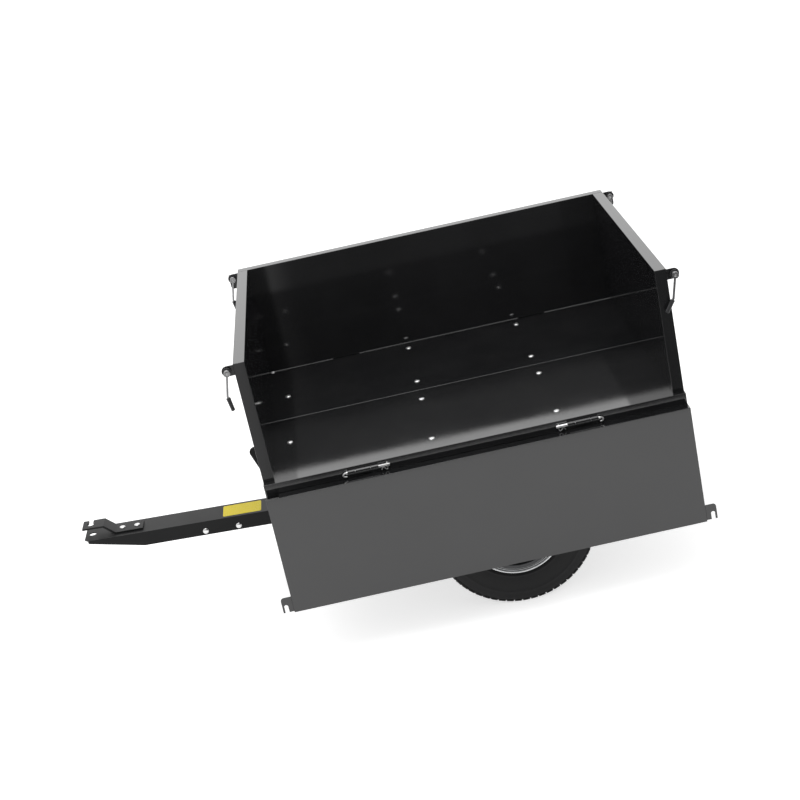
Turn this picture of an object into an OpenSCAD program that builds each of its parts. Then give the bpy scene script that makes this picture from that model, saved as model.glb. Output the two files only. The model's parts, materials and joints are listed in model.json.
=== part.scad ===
// Tow-behind tipping dump cart with fold-down side panels, in millimetres.
// The origin is the axis of the hitch pin hole on the top face of the drawbar.
// +X runs to the rear, -Y is the near side, +Z is up, and the tub stands level.

/* [Tub] */
// Outside length of the tub over the rims of its end walls
tub_len = 1050; // [960:10:1140]
// Width of the tub between its side panel planes
tub_w = 770; // [750:10:850]
// Height of the walls above the floor
wall_h = 315; // [280:5:360]
// Width of the turned-out rims of walls and panels
rim_w = 28; // [24:1:32]
// Thickness of the sheet steel
sheet_t = 2; // [1.5:0.5:2.5]
// Floor ledge outside the side panel planes
ledge_w = 19; // [16:1:22]
// Depth of the turned-down outer edge of the floor
edge_h = 38; // [34:1:44]
// Depth of the flanges along the floor's centre seam
seam_h = 20; // [12:1:30]
// Gap between the two floor pans at the seam
seam_gap = 1; // [0.5:0.5:2]
// Gap between a closed side panel and the end walls
panel_gap = 0.5; // [0.4:0.1:0.8]
// Height of a closed side panel's lower edge over the floor
panel_lift = 3; // [3:0.5:5]
// Length of the notch at the front end of a panel's hinge flange
hem_notch = 32; // [20:1:45]

/* [Cross rails] */
// Distance of the front cross rail from the front of the tub
rail_front_x = 425; // [395:5:445]
// Distance of the rear cross rail from the front of the tub
rail_rear_x = 740; // [715:5:770]
// Width of a cross rail
rail_w = 40; // [34:1:46]
// Depth of a cross rail
rail_h = 38; // [30:1:42]
// Wall thickness of a cross rail
rail_t = 3; // [2:0.5:4]
// Length of a cross rail
rail_len = 730; // [710:5:745]
// Sideways distance of the inner floor bolts from the centre line
bolt_inner_y = 67; // [50:1:90]
// Distance of the outer floor bolts from the end of a cross rail
bolt_end_inset = 24; // [20:1:30]

/* [Fasteners] */
// Radius of the shank of a floor bolt
bolt_r = 4; // [3:0.5:5]
// Radius of the round head of a floor bolt
bolt_head_r = 8; // [7:0.5:10]
// Height of the round head of a floor bolt
bolt_head_h = 3.5; // [2.5:0.5:5]
// Radius over the corners of a nut
nut_r = 7.5; // [6.5:0.5:8.5]
// Height of a nut
nut_h = 6.5; // [5:0.5:8]
// Radial clearance of a bolt in its hole
hole_gap = 0.25; // [0.15:0.05:0.4]
// Thread length that stands out of a nut
thread_out = 3; // [1:0.5:6]
// Radius of the shank of a wall bolt
wall_bolt_r = 3; // [2.5:0.5:3.5]
// Distance of the inner wall bolts from the centre line
wall_bolt_inner_y = 120; // [100:5:150]
// Distance of the outer wall bolts from the centre line
wall_bolt_outer_y = 300; // [250:5:330]

/* [Axle and wheels] */
// Distance of the axle from the front of the tub
axle_x = 582; // [570:2:600]
// Depth of the axle below the floor
axle_drop = 282; // [272:2:300]
// Radius of the axle
axle_r = 10; // [8:0.5:12]
// Running clearance of a bearing on the axle
run_gap = 0.06; // [0.03:0.01:0.1]
// Sideways distance of an axle leg from the centre line
leg_y = 246; // [230:1:252]
// Thickness of an axle leg
leg_t = 5; // [4:0.5:6]
// Radius of the eye round the axle in a leg
leg_eye_r = 26; // [22:1:32]
// Width of the foot that bolts a leg to a rail
leg_foot_w = 38; // [32:1:46]
// Thickness of the washers beside the hubs
washer_t = 3; // [2:0.5:4]
// Radius of the washers beside the hubs
washer_r = 19; // [17:0.5:22]
// Play on each side of a washer
washer_play = 0.3; // [0.2:0.1:0.5]
// Radius of a tyre
tyre_r = 204; // [190:1:212]
// Width of a tyre
tyre_w = 112; // [108:1:118]
// Thickness of the tyre's casing
tyre_wall = 9; // [7:0.5:12]
// Radius of the rim's bead seat
bead_r = 101; // [96:1:106]
// Radius of the rim's outer lip
lip_r = 121; // [118:1:124]
// Width of the rim over its lips
rim_body_w = 104; // [98:1:106]
// Thickness of the rim's steel
rim_t = 3; // [2:0.5:4]
// Offset of the rim's disc towards the outside
disc_offset = 12; // [0:1:25]
// Length of a hub tube
hub_len = 122; // [114:1:126]
// Outer radius of a hub tube
hub_r = 18; // [17.5:0.5:24]
// Outer radius of a bearing bush
bush_r = 14; // [13:0.5:15]
// Length of a bearing bush inside its hub
bush_len = 24; // [18:1:32]
// Thickness of a bearing bush's flange
bush_flange_t = 2.5; // [2:0.5:4]
// Radius of the valve stem
valve_r = 4; // [3:0.5:5]
// Length of the valve stem inside the rim
valve_len = 24; // [16:1:34]
// Radius of a cotter pin
cotter_r = 2; // [1.5:0.5:2.5]

/* [Drawbar] */
// Distance of the hitch pin hole ahead of the axle along the drawbar
hitch_reach = 1105; // [1085:5:1150]
// Upward slope of the drawbar towards the hitch, in degrees
drawbar_rise = 3; // [2:0.5:4]
// Outside width of the drawbar
drawbar_w = 85; // [76:1:94]
// Outside height of the drawbar
drawbar_h = 40; // [38:1:46]
// Thickness of the drawbar's steel
drawbar_t = 3; // [2.5:0.5:4]
// Length of the front drawbar channel behind the foot of the stand
front_tail = 12; // [8:1:30]
// Length by which the two drawbar channels overlap
drawbar_overlap = 360; // [300:5:400]
// Length of the drawbar behind the axle
drawbar_tail = 30; // [25:1:40]
// Gap between the inner and the outer drawbar channel
nest_gap = 0.3; // [0.2:0.1:0.5]
// Length of the drawbar ahead of the hitch pin hole
nose_reach = 19; // [16:1:24]
// Length over which the nose tapers
nose_len = 157; // [145:1:175]
// Height of the nose at its tip
nose_h = 6.5; // [5:0.5:9]
// Size of the cut corners at the nose
nose_cut = 12; // [8:1:16]
// Distance of the first cross bolt from the start of the rear channel
cross_bolt_inset = 39; // [30:1:50]
// Distance between the two cross bolts
cross_bolt_pitch = 90; // [70:1:120]
// Depth of the cross bolts below the top of the drawbar
cross_bolt_drop = 28.5; // [24:0.5:30]
// Outer radius of the pivot tube round the axle
pivot_r = 15; // [14:0.5:16]

/* [Hitch] */
// Radius of the hitch pin hole
hitch_r = 9.5; // [8:0.5:10.5]
// Width of the throat that opens the strap's hole to the side
throat_w = 12; // [9:1:12]
// Width of the hitch strap
strap_w = 50; // [44:1:56]
// Thickness of the hitch strap
strap_t = 5; // [4:0.5:6]
// Gap between the drawbar and the raised end of the strap
strap_gap = 24; // [20:1:30]
// Length of the strap ahead of the hole
strap_front = 21; // [18:1:26]
// Distance behind the hole where the strap starts to slope down
strap_ramp_start = 36; // [30:1:42]
// Distance behind the hole where the strap meets the drawbar
strap_ramp_end = 64; // [58:1:68]
// Distance of the front strap bolt behind the hole
strap_bolt_front = 82; // [80:1:88]
// Distance of the rear strap bolt behind the hole
strap_bolt_rear = 122; // [116:1:126]
// Distance of the strap's rear end behind the hole
strap_rear = 139; // [136:1:148]

/* [Side panel hinges] */
// Distance of each hinge from the middle of the pair
hinge_half_pitch = 273; // [200:1:320]
// Distance by which both hinges sit ahead of the middle
hinge_lead = 7; // [0:1:20]
// Depth of the hinge axis below the floor
hinge_drop = 12; // [11:0.5:13]
// Outer radius of a hinge knuckle
knuckle_r = 6.5; // [6:0.25:6.5]
// Length of the middle knuckle
knuckle_mid = 38; // [30:1:46]
// Length of an outer knuckle
knuckle_side = 19; // [14:1:26]
// Gap between two knuckles
knuckle_gap = 0.5; // [0.3:0.1:1]
// Radius of a hinge pin
hinge_pin_r = 4; // [3:0.25:4.25]
// Thickness of a hinge leaf
leaf_t = 2.5; // [2:0.25:2.5]
// Thickness of a hinge bracket on the floor edge
bracket_t = 3; // [2.5:0.25:3]
// Length of a hinge pin beyond the inner knuckle
pin_out = 28; // [22:1:36]
// Radius of the loop at the end of a hinge pin
loop_r = 8.5; // [7:0.5:8.5]

/* [Corner latches] */
// Distance of a latch pin outside the end wall
latch_out = 17; // [15:0.5:18]
// Depth of a latch pin below the top of the wall
latch_down = 15; // [14:1:22]
// Radius of a latch pin
latch_r = 4; // [3.5:0.25:4.25]
// Radius of the ear that carries a latch pin
ear_r = 13; // [12:0.5:13.5]
// Thickness of an ear
ear_t = 3; // [2:0.5:4]
// Thickness of a panel hook
hook_t = 3; // [2:0.5:4]
// Length of a hook beyond the panel's end
hook_out = 27; // [26:0.5:30]
// Height of a hook
hook_h = 41; // [36:1:46]
// Width of the slot in a hook
hook_slot = 10; // [9.5:0.5:11]
// Radius of the ring behind the latch head
latch_ring_r = 11; // [10:0.5:12]
// Radius of the latch head
latch_head_r = 8; // [7.5:0.5:9]
// Length of the latch head
latch_head_len = 12; // [11:0.5:14]
// Width of a latch lever
lever_w = 5; // [4:0.5:6]
// Thickness of a latch lever
lever_t = 4; // [3:0.5:4.5]
// Length of the straight part of a latch lever
lever_len = 58; // [48:1:62]
// Bend of a latch lever, in degrees
lever_bend = 20; // [10:1:20]
// Length of a lever's grip
grip_len = 34; // [30:1:40]
// Radius of a lever's grip
grip_r = 5.5; // [5:0.25:6]

/* [Tipping latch] */
// Distance of the release handle's pivot ahead of the stand
latch_lead = 45; // [41:1:49]
// Height of the release handle's pivot above the drawbar
handle_pivot_h = 20; // [19:1:24]
// Length of the release handle above its pivot
handle_len = 161; // [145:1:162]
// Width of the release handle
handle_w = 28; // [24:1:30]
// Thickness of the release handle
handle_t = 5; // [4:0.5:6]
// Forward lean of the released handle, in degrees
handle_lean = 18; // [16:1:20]
// Height of the striker bar above the handle's pivot
striker_h = 60; // [56:1:66]
// Radius of the striker bar
striker_r = 6; // [5:0.5:7]
// Distance of the front stand from the front of the tub
stand_x = 70; // [66:1:78]
// Sideways distance of the stand's floor bolts
stand_bolt_y = 166; // [150:1:180]
// Thickness of the front stand's steel
stand_t = 4; // [3:0.5:5]

/* [Hidden] */
$fn = 48;

// Colours
coat = [0.13, 0.135, 0.14];
zinc = [0.76, 0.77, 0.78];
plastic = [0.05, 0.05, 0.055];
rubber = [0.07, 0.07, 0.07];
rim_paint = [0.72, 0.73, 0.74];

// The hitch pin hole seen from the front of the tub at floor height
hitch_x = axle_x - hitch_reach * cos(drawbar_rise) + drawbar_h / 2 * sin(drawbar_rise);
hitch_z = -axle_drop + hitch_reach * sin(drawbar_rise) + drawbar_h / 2 * cos(drawbar_rise);

// Small amount by which a cut runs past the face that it opens
cut = 1;
// Gap that keeps two pieces of different bodies apart
safe = 0.3;
// Clearance of a piece that is driven or glued into another
snug = 0.05;

// Tub
tub_half = tub_w / 2;
floor_half = tub_half + ledge_w;
rail_xs = [rail_front_x, rail_rear_x];
bolt_outer_y = rail_len / 2 - bolt_end_inset;
rail_bolt_ys = [-bolt_outer_y, -bolt_inner_y, bolt_inner_y, bolt_outer_y];
wall_bolt_ys = [-wall_bolt_outer_y, -wall_bolt_inner_y, wall_bolt_inner_y, wall_bolt_outer_y];
wall_bolt_inset = rim_w / 2 - 1;
panel_y = tub_half + panel_gap;
hinge_y = floor_half + knuckle_r;
hinge_xs = [tub_len / 2 - hinge_lead - hinge_half_pitch, tub_len / 2 - hinge_lead + hinge_half_pitch];
hinge_len = knuckle_mid + 2 * knuckle_side + 2 * knuckle_gap;

// Axle and wheels
rail_under = -sheet_t - rail_h;
wheel_in = leg_y + leg_t / 2 + 2 * washer_play + washer_t;
wheel_y = wheel_in + bush_flange_t + hub_len / 2;
wheel_out = wheel_y + hub_len / 2 + bush_flange_t;
cotter_y = wheel_out + 2 * washer_play + washer_t + cotter_r;
axle_half = cotter_y + 2.5 * cotter_r;
cotter_loop_r = 5;
cotter_wire_r = 1.5;

// Front stand, centred on its floor bolts
stand_top = -sheet_t;
stand_face = stand_x - rail_w / 2;
stand_edge = 24;

// Drawbar, in a frame on the axle that slopes with the drawbar
drawbar_half = drawbar_h / 2;
nose_x = -hitch_reach - nose_reach;
foot_x = (stand_face - axle_x) / cos(drawbar_rise);
foot_len = rail_w + 2;
front_end = foot_x + foot_len + front_tail;
rear_start = front_end - drawbar_overlap;
rear_w = drawbar_w - 2 * drawbar_t - 2 * nest_gap;
rear_top = drawbar_half - drawbar_t - nest_gap;
cross_bolt_xs = [rear_start + cross_bolt_inset, rear_start + cross_bolt_inset + cross_bolt_pitch];
cross_bolt_z = drawbar_half - cross_bolt_drop;
strap_bolt_xs = [-hitch_reach + strap_bolt_front, -hitch_reach + strap_bolt_rear];

// Corner latches
pin_z = wall_h - latch_down;
pin_front_x = -latch_out;
pin_rear_x = tub_len + latch_out;
hook_outer_y = panel_y + hook_t;
ring_t = 3;
ring_y_near = hook_outer_y + safe;
head_y_near = ring_y_near + ring_t + safe;
ring_y_far = tub_half - ear_t - safe;
head_y_far = ring_y_far - ring_t - safe;
knob_r = 9;
knob_len = 10;
tee_h = 18;
tee_t = 4;
flip_depth = 7;
eye_r = 4.5;
flip_pin_r = 2;
hang_tilt = 12;
lean_tilt = -4;
tang_len = 25;

// Tipping latch: pivot and striker seen from the front of the tub at floor height
pivot_up = drawbar_half + handle_pivot_h;
pivot_x = stand_face - latch_lead;
latch_x = (axle_x + pivot_up * sin(drawbar_rise) - pivot_x) / cos(drawbar_rise);
pivot_z = -axle_drop + latch_x * sin(drawbar_rise) + pivot_up * cos(drawbar_rise);
nose_gap = 1.5;
striker_x = pivot_x + handle_w / 2 + nose_gap + striker_r;
striker_z = pivot_z + striker_h;
handle_bolt_r = 4;
latch_base = [40, 52, 4];
latch_ear_r = 11;
latch_ear_t = 4;
latch_ear_y = handle_t / 2 + 0.5;
cheek_y = 17;
cheek_t = 5;

// Frames: the hitch frame of the whole cart, and the sloping frame of the drawbar
module in_tub() {
  translate([-hitch_x, 0, -hitch_z]) children();
}

module in_drawbar() {
  in_tub() on_slope() children();
}

module at_hinge(side, x) {
  translate([x, side * hinge_y, -hinge_drop]) children();
}

// Helpers
module box(low, high) {
  translate(low) cube(high - low);
}

module rod_y(r, x, z, y0, y1) {
  translate([x, y0, z]) rotate([-90, 0, 0]) cylinder(r = r, h = y1 - y0);
}

module rod_x(r, x0, x1) {
  translate([x0, 0, 0]) rotate([0, 90, 0]) cylinder(r = r, h = x1 - x0);
}

// An outline in the XZ plane made into a plate from y0 to y1
module side_plate(y0, y1) {
  translate([0, y1, 0]) rotate([90, 0, 0]) linear_extrude(y1 - y0) children();
}

// A round-headed bolt through a grip, with its head on z = 0 and its shank below
module bolt(r, head_r, head_h, grip) {
  cylinder(r1 = head_r, r2 = head_r * 0.7, h = head_h);
  translate([0, 0, -grip - nut_h - thread_out]) cylinder(r = r, h = grip + nut_h + thread_out + 0.5);
}

module nut(r, grip) {
  translate([0, 0, -grip - nut_h]) difference() {
    cylinder(r = nut_r, h = nut_h, $fn = 6);
    translate([0, 0, -cut]) cylinder(r = r + snug, h = nut_h + 2 * cut);
  }
}

module bolt_hole(r, deep) {
  translate([0, 0, -deep]) cylinder(r = r + hole_gap, h = deep + cut);
}

// A channel that is open downward, along X
module channel(x0, x1, w, top, bottom, t) {
  difference() {
    box([x0, -w / 2, bottom], [x1, w / 2, top]);
    box([x0 - cut, -w / 2 + t, bottom - cut], [x1 + cut, w / 2 - t, top - t]);
  }
}

// Places of the floor bolts: on the rails and on the front stand
module at_rail_bolts() {
  for (x = rail_xs) for (y = rail_bolt_ys) translate([x, y, 0]) children();
}

module at_stand_bolts() {
  for (y = [-stand_bolt_y, stand_bolt_y]) translate([stand_x, y, 0]) children();
}

module at_wall_bolts(x) {
  for (y = wall_bolt_ys) translate([x, y, sheet_t]) children();
}

// Drawbar pieces
module drawbar_front() {
  color(coat) in_drawbar() difference() {
    channel(nose_x, front_end, drawbar_w, drawbar_half, -drawbar_half, drawbar_t);
    side_plate(-drawbar_w, drawbar_w) polygon([
      [nose_x - cut, -drawbar_half - cut], [nose_x + nose_len, -drawbar_half - cut],
      [nose_x + nose_len, -drawbar_half], [nose_x, drawbar_half - nose_h],
      [nose_x - cut, drawbar_half - nose_h]]);
    for (s = [-1, 1]) translate([nose_x, s * drawbar_w / 2, 0]) rotate([0, 0, 45])
      cube([nose_cut * sqrt(2), nose_cut * sqrt(2), 2 * drawbar_h], center = true);
    translate([-hitch_reach, 0, 0]) cylinder(r = hitch_r, h = drawbar_h);
    for (x = strap_bolt_xs) translate([x, 0, drawbar_half]) bolt_hole(bolt_r, drawbar_h / 2);
    for (x = cross_bolt_xs) rod_y(bolt_r + hole_gap, x, cross_bolt_z, -drawbar_w, drawbar_w);
  }
}

module drawbar_rear() {
  color(coat) in_drawbar() difference() {
    channel(rear_start, drawbar_tail, rear_w, rear_top, -drawbar_half, drawbar_t);
    for (x = cross_bolt_xs) rod_y(bolt_r + hole_gap, x, cross_bolt_z, -drawbar_w, drawbar_w);
    rod_y(pivot_r + snug, 0, 0, -drawbar_w, drawbar_w);
  }
}

module at_cross_bolts() {
  for (x = cross_bolt_xs) translate([x, -drawbar_w / 2, cross_bolt_z]) rotate([90, 0, 0]) children();
}

module drawbar_bolts() {
  color(zinc) in_drawbar() at_cross_bolts() bolt(bolt_r, bolt_head_r, bolt_head_h, drawbar_w);
}

module drawbar_nuts() {
  color(zinc) in_drawbar() {
    at_cross_bolts() nut(bolt_r, drawbar_w);
    at_strap_bolts() nut(bolt_r, strap_t + drawbar_t);
  }
}

module hitch_strap() {
  low = drawbar_half;
  high = drawbar_half + strap_gap;
  hx = -hitch_reach;
  color(coat) in_drawbar() difference() {
    side_plate(-strap_w / 2, strap_w / 2) polygon([
      [hx - strap_front, high], [hx + strap_ramp_start - strap_t / 3, high],
      [hx + strap_ramp_end - strap_t / 3, low], [hx + strap_rear, low],
      [hx + strap_rear, low + strap_t], [hx + strap_ramp_end + strap_t / 3, low + strap_t],
      [hx + strap_ramp_start + strap_t / 3, high + strap_t], [hx - strap_front, high + strap_t]]);
    translate([hx, 0, low]) cylinder(r = hitch_r, h = strap_gap + strap_t + cut);
    box([hx - throat_w / 2, 0, high - cut], [hx + throat_w / 2, strap_w, high + strap_t + cut]);
    for (x = strap_bolt_xs) translate([x, 0, low + strap_t]) bolt_hole(bolt_r, strap_t + cut);
  }
}

module at_strap_bolts() {
  for (x = strap_bolt_xs) translate([x, 0, drawbar_half + strap_t]) children();
}

module hitch_bolts() {
  color(zinc) in_drawbar() at_strap_bolts()
    bolt(bolt_r, bolt_head_r, bolt_head_h, strap_t + drawbar_t);
}

module pivot_tube() {
  half = leg_y - leg_t / 2 - washer_play;
  color(coat) in_drawbar() difference() {
    rod_y(pivot_r, 0, 0, -half, half);
    rod_y(axle_r + run_gap, 0, 0, -half - cut, half + cut);
  }
}

// Two ears on a base plate, welded to the top of the drawbar
module latch_bracket() {
  mid = latch_ear_y + latch_ear_t / 2;
  color(coat) in_drawbar() translate([-latch_x, 0, drawbar_half]) difference() {
    union() {
      translate([0, 0, latch_base[2] / 2]) cube(latch_base, center = true);
      for (s = [-1, 1]) side_plate(s * mid - latch_ear_t / 2, s * mid + latch_ear_t / 2) {
        translate([0, handle_pivot_h]) circle(r = latch_ear_r);
        translate([-latch_ear_r, 0]) square([2 * latch_ear_r, handle_pivot_h]);
      }
    }
    rod_y(handle_bolt_r + run_gap, 0, handle_pivot_h, -latch_base[1], latch_base[1]);
  }
}

module handle_pivot_bolt() {
  side = latch_ear_y + latch_ear_t;
  color(zinc) in_drawbar() translate([-latch_x, 0, drawbar_half + handle_pivot_h]) {
    rod_y(handle_bolt_r, 0, 0, -side - 1, side + 1);
    for (s = [-1, 1]) rod_y(7, 0, 0, s * (side + 2.25) - 2, s * (side + 2.25) + 2);
  }
}

// Flat bar in the XZ plane that leans forward when released; its nose catches the striker
module release_handle() {
  catch_z = striker_h + striker_r + 0.5;
  catch_x = handle_w / 2 + nose_gap + striker_r * 1.7;
  catch_tip = 8;
  catch_top = 24;
  color(coat) in_tub() translate([pivot_x, 0, pivot_z]) rotate([0, -handle_lean, 0]) difference() {
    side_plate(-handle_t / 2, handle_t / 2) {
      circle(r = handle_w / 2);
      translate([-handle_w / 2, 0]) square([handle_w, handle_len - handle_w / 2]);
      translate([0, handle_len - handle_w / 2]) circle(r = handle_w / 2);
      polygon([[0, catch_z], [catch_x, catch_z], [catch_x, catch_z + catch_tip],
        [handle_w / 4, catch_z + catch_top]]);
    }
    rod_y(handle_bolt_r + run_gap, 0, 0, -handle_t, handle_t);
  }
}

// Floor: a left and a right pan with down-turned edges that meet at the centre seam
module floor_pan(side) {
  difference() {
    union() {
      box([0, seam_gap / 2, -sheet_t], [tub_len, floor_half, 0]);
      box([0, floor_half - sheet_t, -edge_h], [tub_len, floor_half, 0]);
      box([0, seam_gap / 2, -seam_h], [tub_len, seam_gap / 2 + sheet_t, 0]);
      for (x = [0, tub_len - sheet_t]) box([x, seam_gap / 2, -edge_h], [x + sheet_t, floor_half, 0]);
    }
    for (x = rail_xs) box([x - rail_w / 2 - cut, -cut, -edge_h - cut],
      [x + rail_w / 2 + cut, seam_gap / 2 + sheet_t + cut, -sheet_t]);
    box([stand_face - cut, -cut, -edge_h - cut],
      [stand_face + rail_w + 2 * cut, seam_gap / 2 + sheet_t + cut, -sheet_t]);
    mirror([0, side < 0 ? 1 : 0, 0]) {
      at_rail_bolts() bolt_hole(bolt_r, 2 * sheet_t);
      at_stand_bolts() bolt_hole(bolt_r, 2 * sheet_t);
      for (x = [wall_bolt_inset, tub_len - wall_bolt_inset]) at_wall_bolts(x)
        bolt_hole(wall_bolt_r, 3 * sheet_t);
    }
  }
}

module floor_near() {
  color(coat) in_tub() mirror([0, 1, 0]) floor_pan(-1);
}

module floor_far() {
  color(coat) in_tub() floor_pan(1);
}

// An end wall at the front: sheet on the inner side, rims turned outward
module end_wall() {
  difference() {
    union() {
      box([rim_w - sheet_t, -tub_half, 0], [rim_w, tub_half, wall_h]);
      box([0, -tub_half, 0], [rim_w, tub_half, sheet_t]);
      box([0, -tub_half, wall_h - sheet_t], [rim_w, tub_half, wall_h]);
      for (s = [-1, 1]) {
        box([0, s < 0 ? -tub_half : tub_half - sheet_t, 0],
          [rim_w, s < 0 ? -tub_half + sheet_t : tub_half, wall_h]);
      }
    }
    at_wall_bolts(wall_bolt_inset) bolt_hole(wall_bolt_r, 2 * sheet_t);
  }
}

module front_wall() {
  color(coat) in_tub() end_wall();
}

module rear_wall() {
  color(coat) in_tub() translate([tub_len, 0, 0]) mirror([1, 0, 0]) end_wall();
}

// Round ears welded to the edges of the side rims, one for each latch pin
module latch_ears() {
  color(coat) in_tub() for (m = [0, 1]) translate([m * tub_len, 0, 0]) mirror([m, 0, 0])
    for (y = [-tub_half, tub_half - ear_t]) difference() {
      side_plate(y, y + ear_t) {
        translate([pin_front_x, pin_z]) circle(r = ear_r);
        translate([pin_front_x, pin_z - ear_r]) square([latch_out, 2 * ear_r]);
      }
      rod_y(latch_r + run_gap, pin_front_x, pin_z, y - cut, y + ear_t + cut);
    }
}

module floor_bolts() {
  color(zinc) in_tub() {
    at_rail_bolts() bolt(bolt_r, bolt_head_r, bolt_head_h, sheet_t + rail_h);
    at_stand_bolts() bolt(bolt_r, bolt_head_r, bolt_head_h, sheet_t + stand_t);
  }
}

module floor_nuts() {
  color(zinc) in_tub() {
    at_rail_bolts() nut(bolt_r, sheet_t + rail_h);
    at_stand_bolts() nut(bolt_r, sheet_t + stand_t);
  }
}

// Small bolts through the lower rims of the end walls, each with its nut on
module wall_bolts() {
  head_h = 3;
  color(zinc) in_tub() for (x = [wall_bolt_inset, tub_len - wall_bolt_inset]) at_wall_bolts(x) {
    cylinder(r = 2 * wall_bolt_r, h = head_h);
    translate([0, 0, -2 * sheet_t - 6]) cylinder(r = wall_bolt_r, h = 2 * sheet_t + 7);
    translate([0, 0, -2 * sheet_t - 5]) cylinder(r = 2 * wall_bolt_r, h = 5, $fn = 6);
  }
}

// A square tube under the floor
module cross_rail(x) {
  inner = rail_w / 2 - rail_t;
  difference() {
    box([x - rail_w / 2, -rail_len / 2, rail_under], [x + rail_w / 2, rail_len / 2, -sheet_t]);
    box([x - inner, -rail_len / 2 - cut, rail_under + rail_t],
      [x + inner, rail_len / 2 + cut, -sheet_t - rail_t]);
    at_rail_bolts() bolt_hole(bolt_r, rail_h + 2 * sheet_t + cut);
    at_leg_bolts() bolt_hole(bolt_r, rail_t + 2 * leg_t);
  }
}

module cross_rail_front() {
  color(coat) in_tub() cross_rail(rail_front_x);
}

module cross_rail_rear() {
  color(coat) in_tub() cross_rail(rail_rear_x);
}

// Bolts that hold the legs' feet, on the inner side of the legs, heads inside the rails
module at_leg_bolts() {
  for (s = [-1, 1]) for (x = rail_xs)
    translate([x, s * (leg_y - leg_t / 2 - leg_foot_w / 2), rail_under + rail_t]) children();
}

module axle_leg() {
  y0 = leg_y - leg_t / 2;
  rise = axle_drop + rail_under;
  wing = asin(leg_eye_r / sqrt(rise * rise + pow(axle_x - rail_front_x, 2)));
  front_slope = atan2(axle_x - rail_front_x + rail_w / 2, rise) + wing;
  rear_slope = atan2(rail_rear_x + rail_w / 2 - axle_x, rise) + wing;
  difference() {
    union() {
      side_plate(y0, y0 + leg_t) {
        translate([axle_x, -axle_drop]) circle(r = leg_eye_r);
        polygon([[rail_front_x - rail_w / 2, rail_under],
          [axle_x - leg_eye_r * cos(front_slope), -axle_drop - leg_eye_r * sin(front_slope) * 0.6],
          [axle_x + leg_eye_r * cos(rear_slope), -axle_drop - leg_eye_r * sin(rear_slope) * 0.6],
          [rail_rear_x + rail_w / 2, rail_under]]);
      }
      for (x = rail_xs) box([x - rail_w / 2, y0 - leg_foot_w, rail_under - leg_t],
        [x + rail_w / 2, y0 + leg_t, rail_under]);
    }
    rod_y(axle_r + snug, axle_x, -axle_drop, y0 - cut, y0 + leg_t + cut);
    at_leg_bolts() bolt_hole(bolt_r, rail_t + 2 * leg_t);
  }
}

module axle_leg_near() {
  color(coat) in_tub() mirror([0, 1, 0]) axle_leg();
}

module axle_leg_far() {
  color(coat) in_tub() axle_leg();
}

module leg_bolts() {
  grip = rail_t + leg_t;
  color(zinc) in_tub() at_leg_bolts() {
    cylinder(r = bolt_head_r, h = bolt_head_h);
    translate([0, 0, -grip - nut_h - 1]) cylinder(r = bolt_r, h = grip + nut_h + 2);
    translate([0, 0, -grip - nut_h]) cylinder(r = nut_r, h = nut_h, $fn = 6);
  }
}

module axle() {
  color(zinc) in_tub() difference() {
    rod_y(axle_r, axle_x, -axle_drop, -axle_half, axle_half);
    for (s = [-1, 1]) translate([axle_x, s * cotter_y, -axle_drop - 2 * axle_r])
      cylinder(r = cotter_r + snug, h = 4 * axle_r);
  }
}

module axle_washers() {
  inner = leg_y + leg_t / 2 + washer_play;
  outer = wheel_out + washer_play;
  color(zinc) in_tub() for (s = [-1, 1]) for (y = [inner, outer]) difference() {
    rod_y(washer_r, axle_x, -axle_drop, s < 0 ? -y - washer_t : y, s < 0 ? -y : y + washer_t);
    rod_y(axle_r + snug, axle_x, -axle_drop, s * y - 2 * washer_t, s * y + 2 * washer_t);
  }
}

// Split pins: a straight leg through the axle with a loop on top
module cotter_pins() {
  color(zinc) in_tub() for (s = [-1, 1]) translate([axle_x, s * cotter_y, -axle_drop]) {
    translate([0, 0, -axle_r - 6]) cylinder(r = cotter_r, h = 2 * axle_r + 8);
    translate([0, 0, axle_r + 2 + cotter_loop_r]) rotate([90, 0, 0]) rotate_extrude()
      translate([cotter_loop_r, 0]) circle(r = cotter_wire_r);
  }
}

// Folded stand that holds the front of the tub on the drawbar
module front_stand() {
  half_top = stand_bolt_y + stand_edge;
  half_web = half_top - 2;
  half_foot = drawbar_w / 2 - 1;
  foot_z = drawbar_half + safe;
  web_low = -axle_drop - foot_x * sin(drawbar_rise);
  color(coat) in_tub() difference() {
    union() {
      box([stand_face, -half_top, stand_top - stand_t], [stand_face + rail_w, half_top, stand_top]);
      difference() {
        translate([stand_face, 0, 0]) stand_prism(rail_w, half_foot, half_web, web_low);
        translate([stand_face + stand_t, 0, 0])
          stand_prism(rail_w, half_foot - stand_t, half_web - stand_t, web_low - cut);
        on_slope() box([foot_x - rail_w, -drawbar_w, -drawbar_half],
          [foot_x + 2 * rail_w, drawbar_w, foot_z + stand_t / 2]);
      }
      on_slope() box([foot_x, -half_foot, foot_z], [foot_x + foot_len, half_foot, foot_z + stand_t]);
    }
    at_stand_bolts() bolt_hole(bolt_r, 2 * sheet_t + 2 * stand_t);
  }
}

// The slope of the drawbar, seen from the front of the tub at floor height
module on_slope() {
  translate([axle_x, 0, -axle_drop]) rotate([0, drawbar_rise, 0]) children();
}

// A block as deep as asked, narrow at its foot and wide under the floor
module stand_prism(deep, foot, top, low) {
  rotate([90, 0, 90]) linear_extrude(deep) polygon([
    [-foot, low], [foot, low], [top, stand_top - stand_t / 2], [-top, stand_top - stand_t / 2]]);
}

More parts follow.
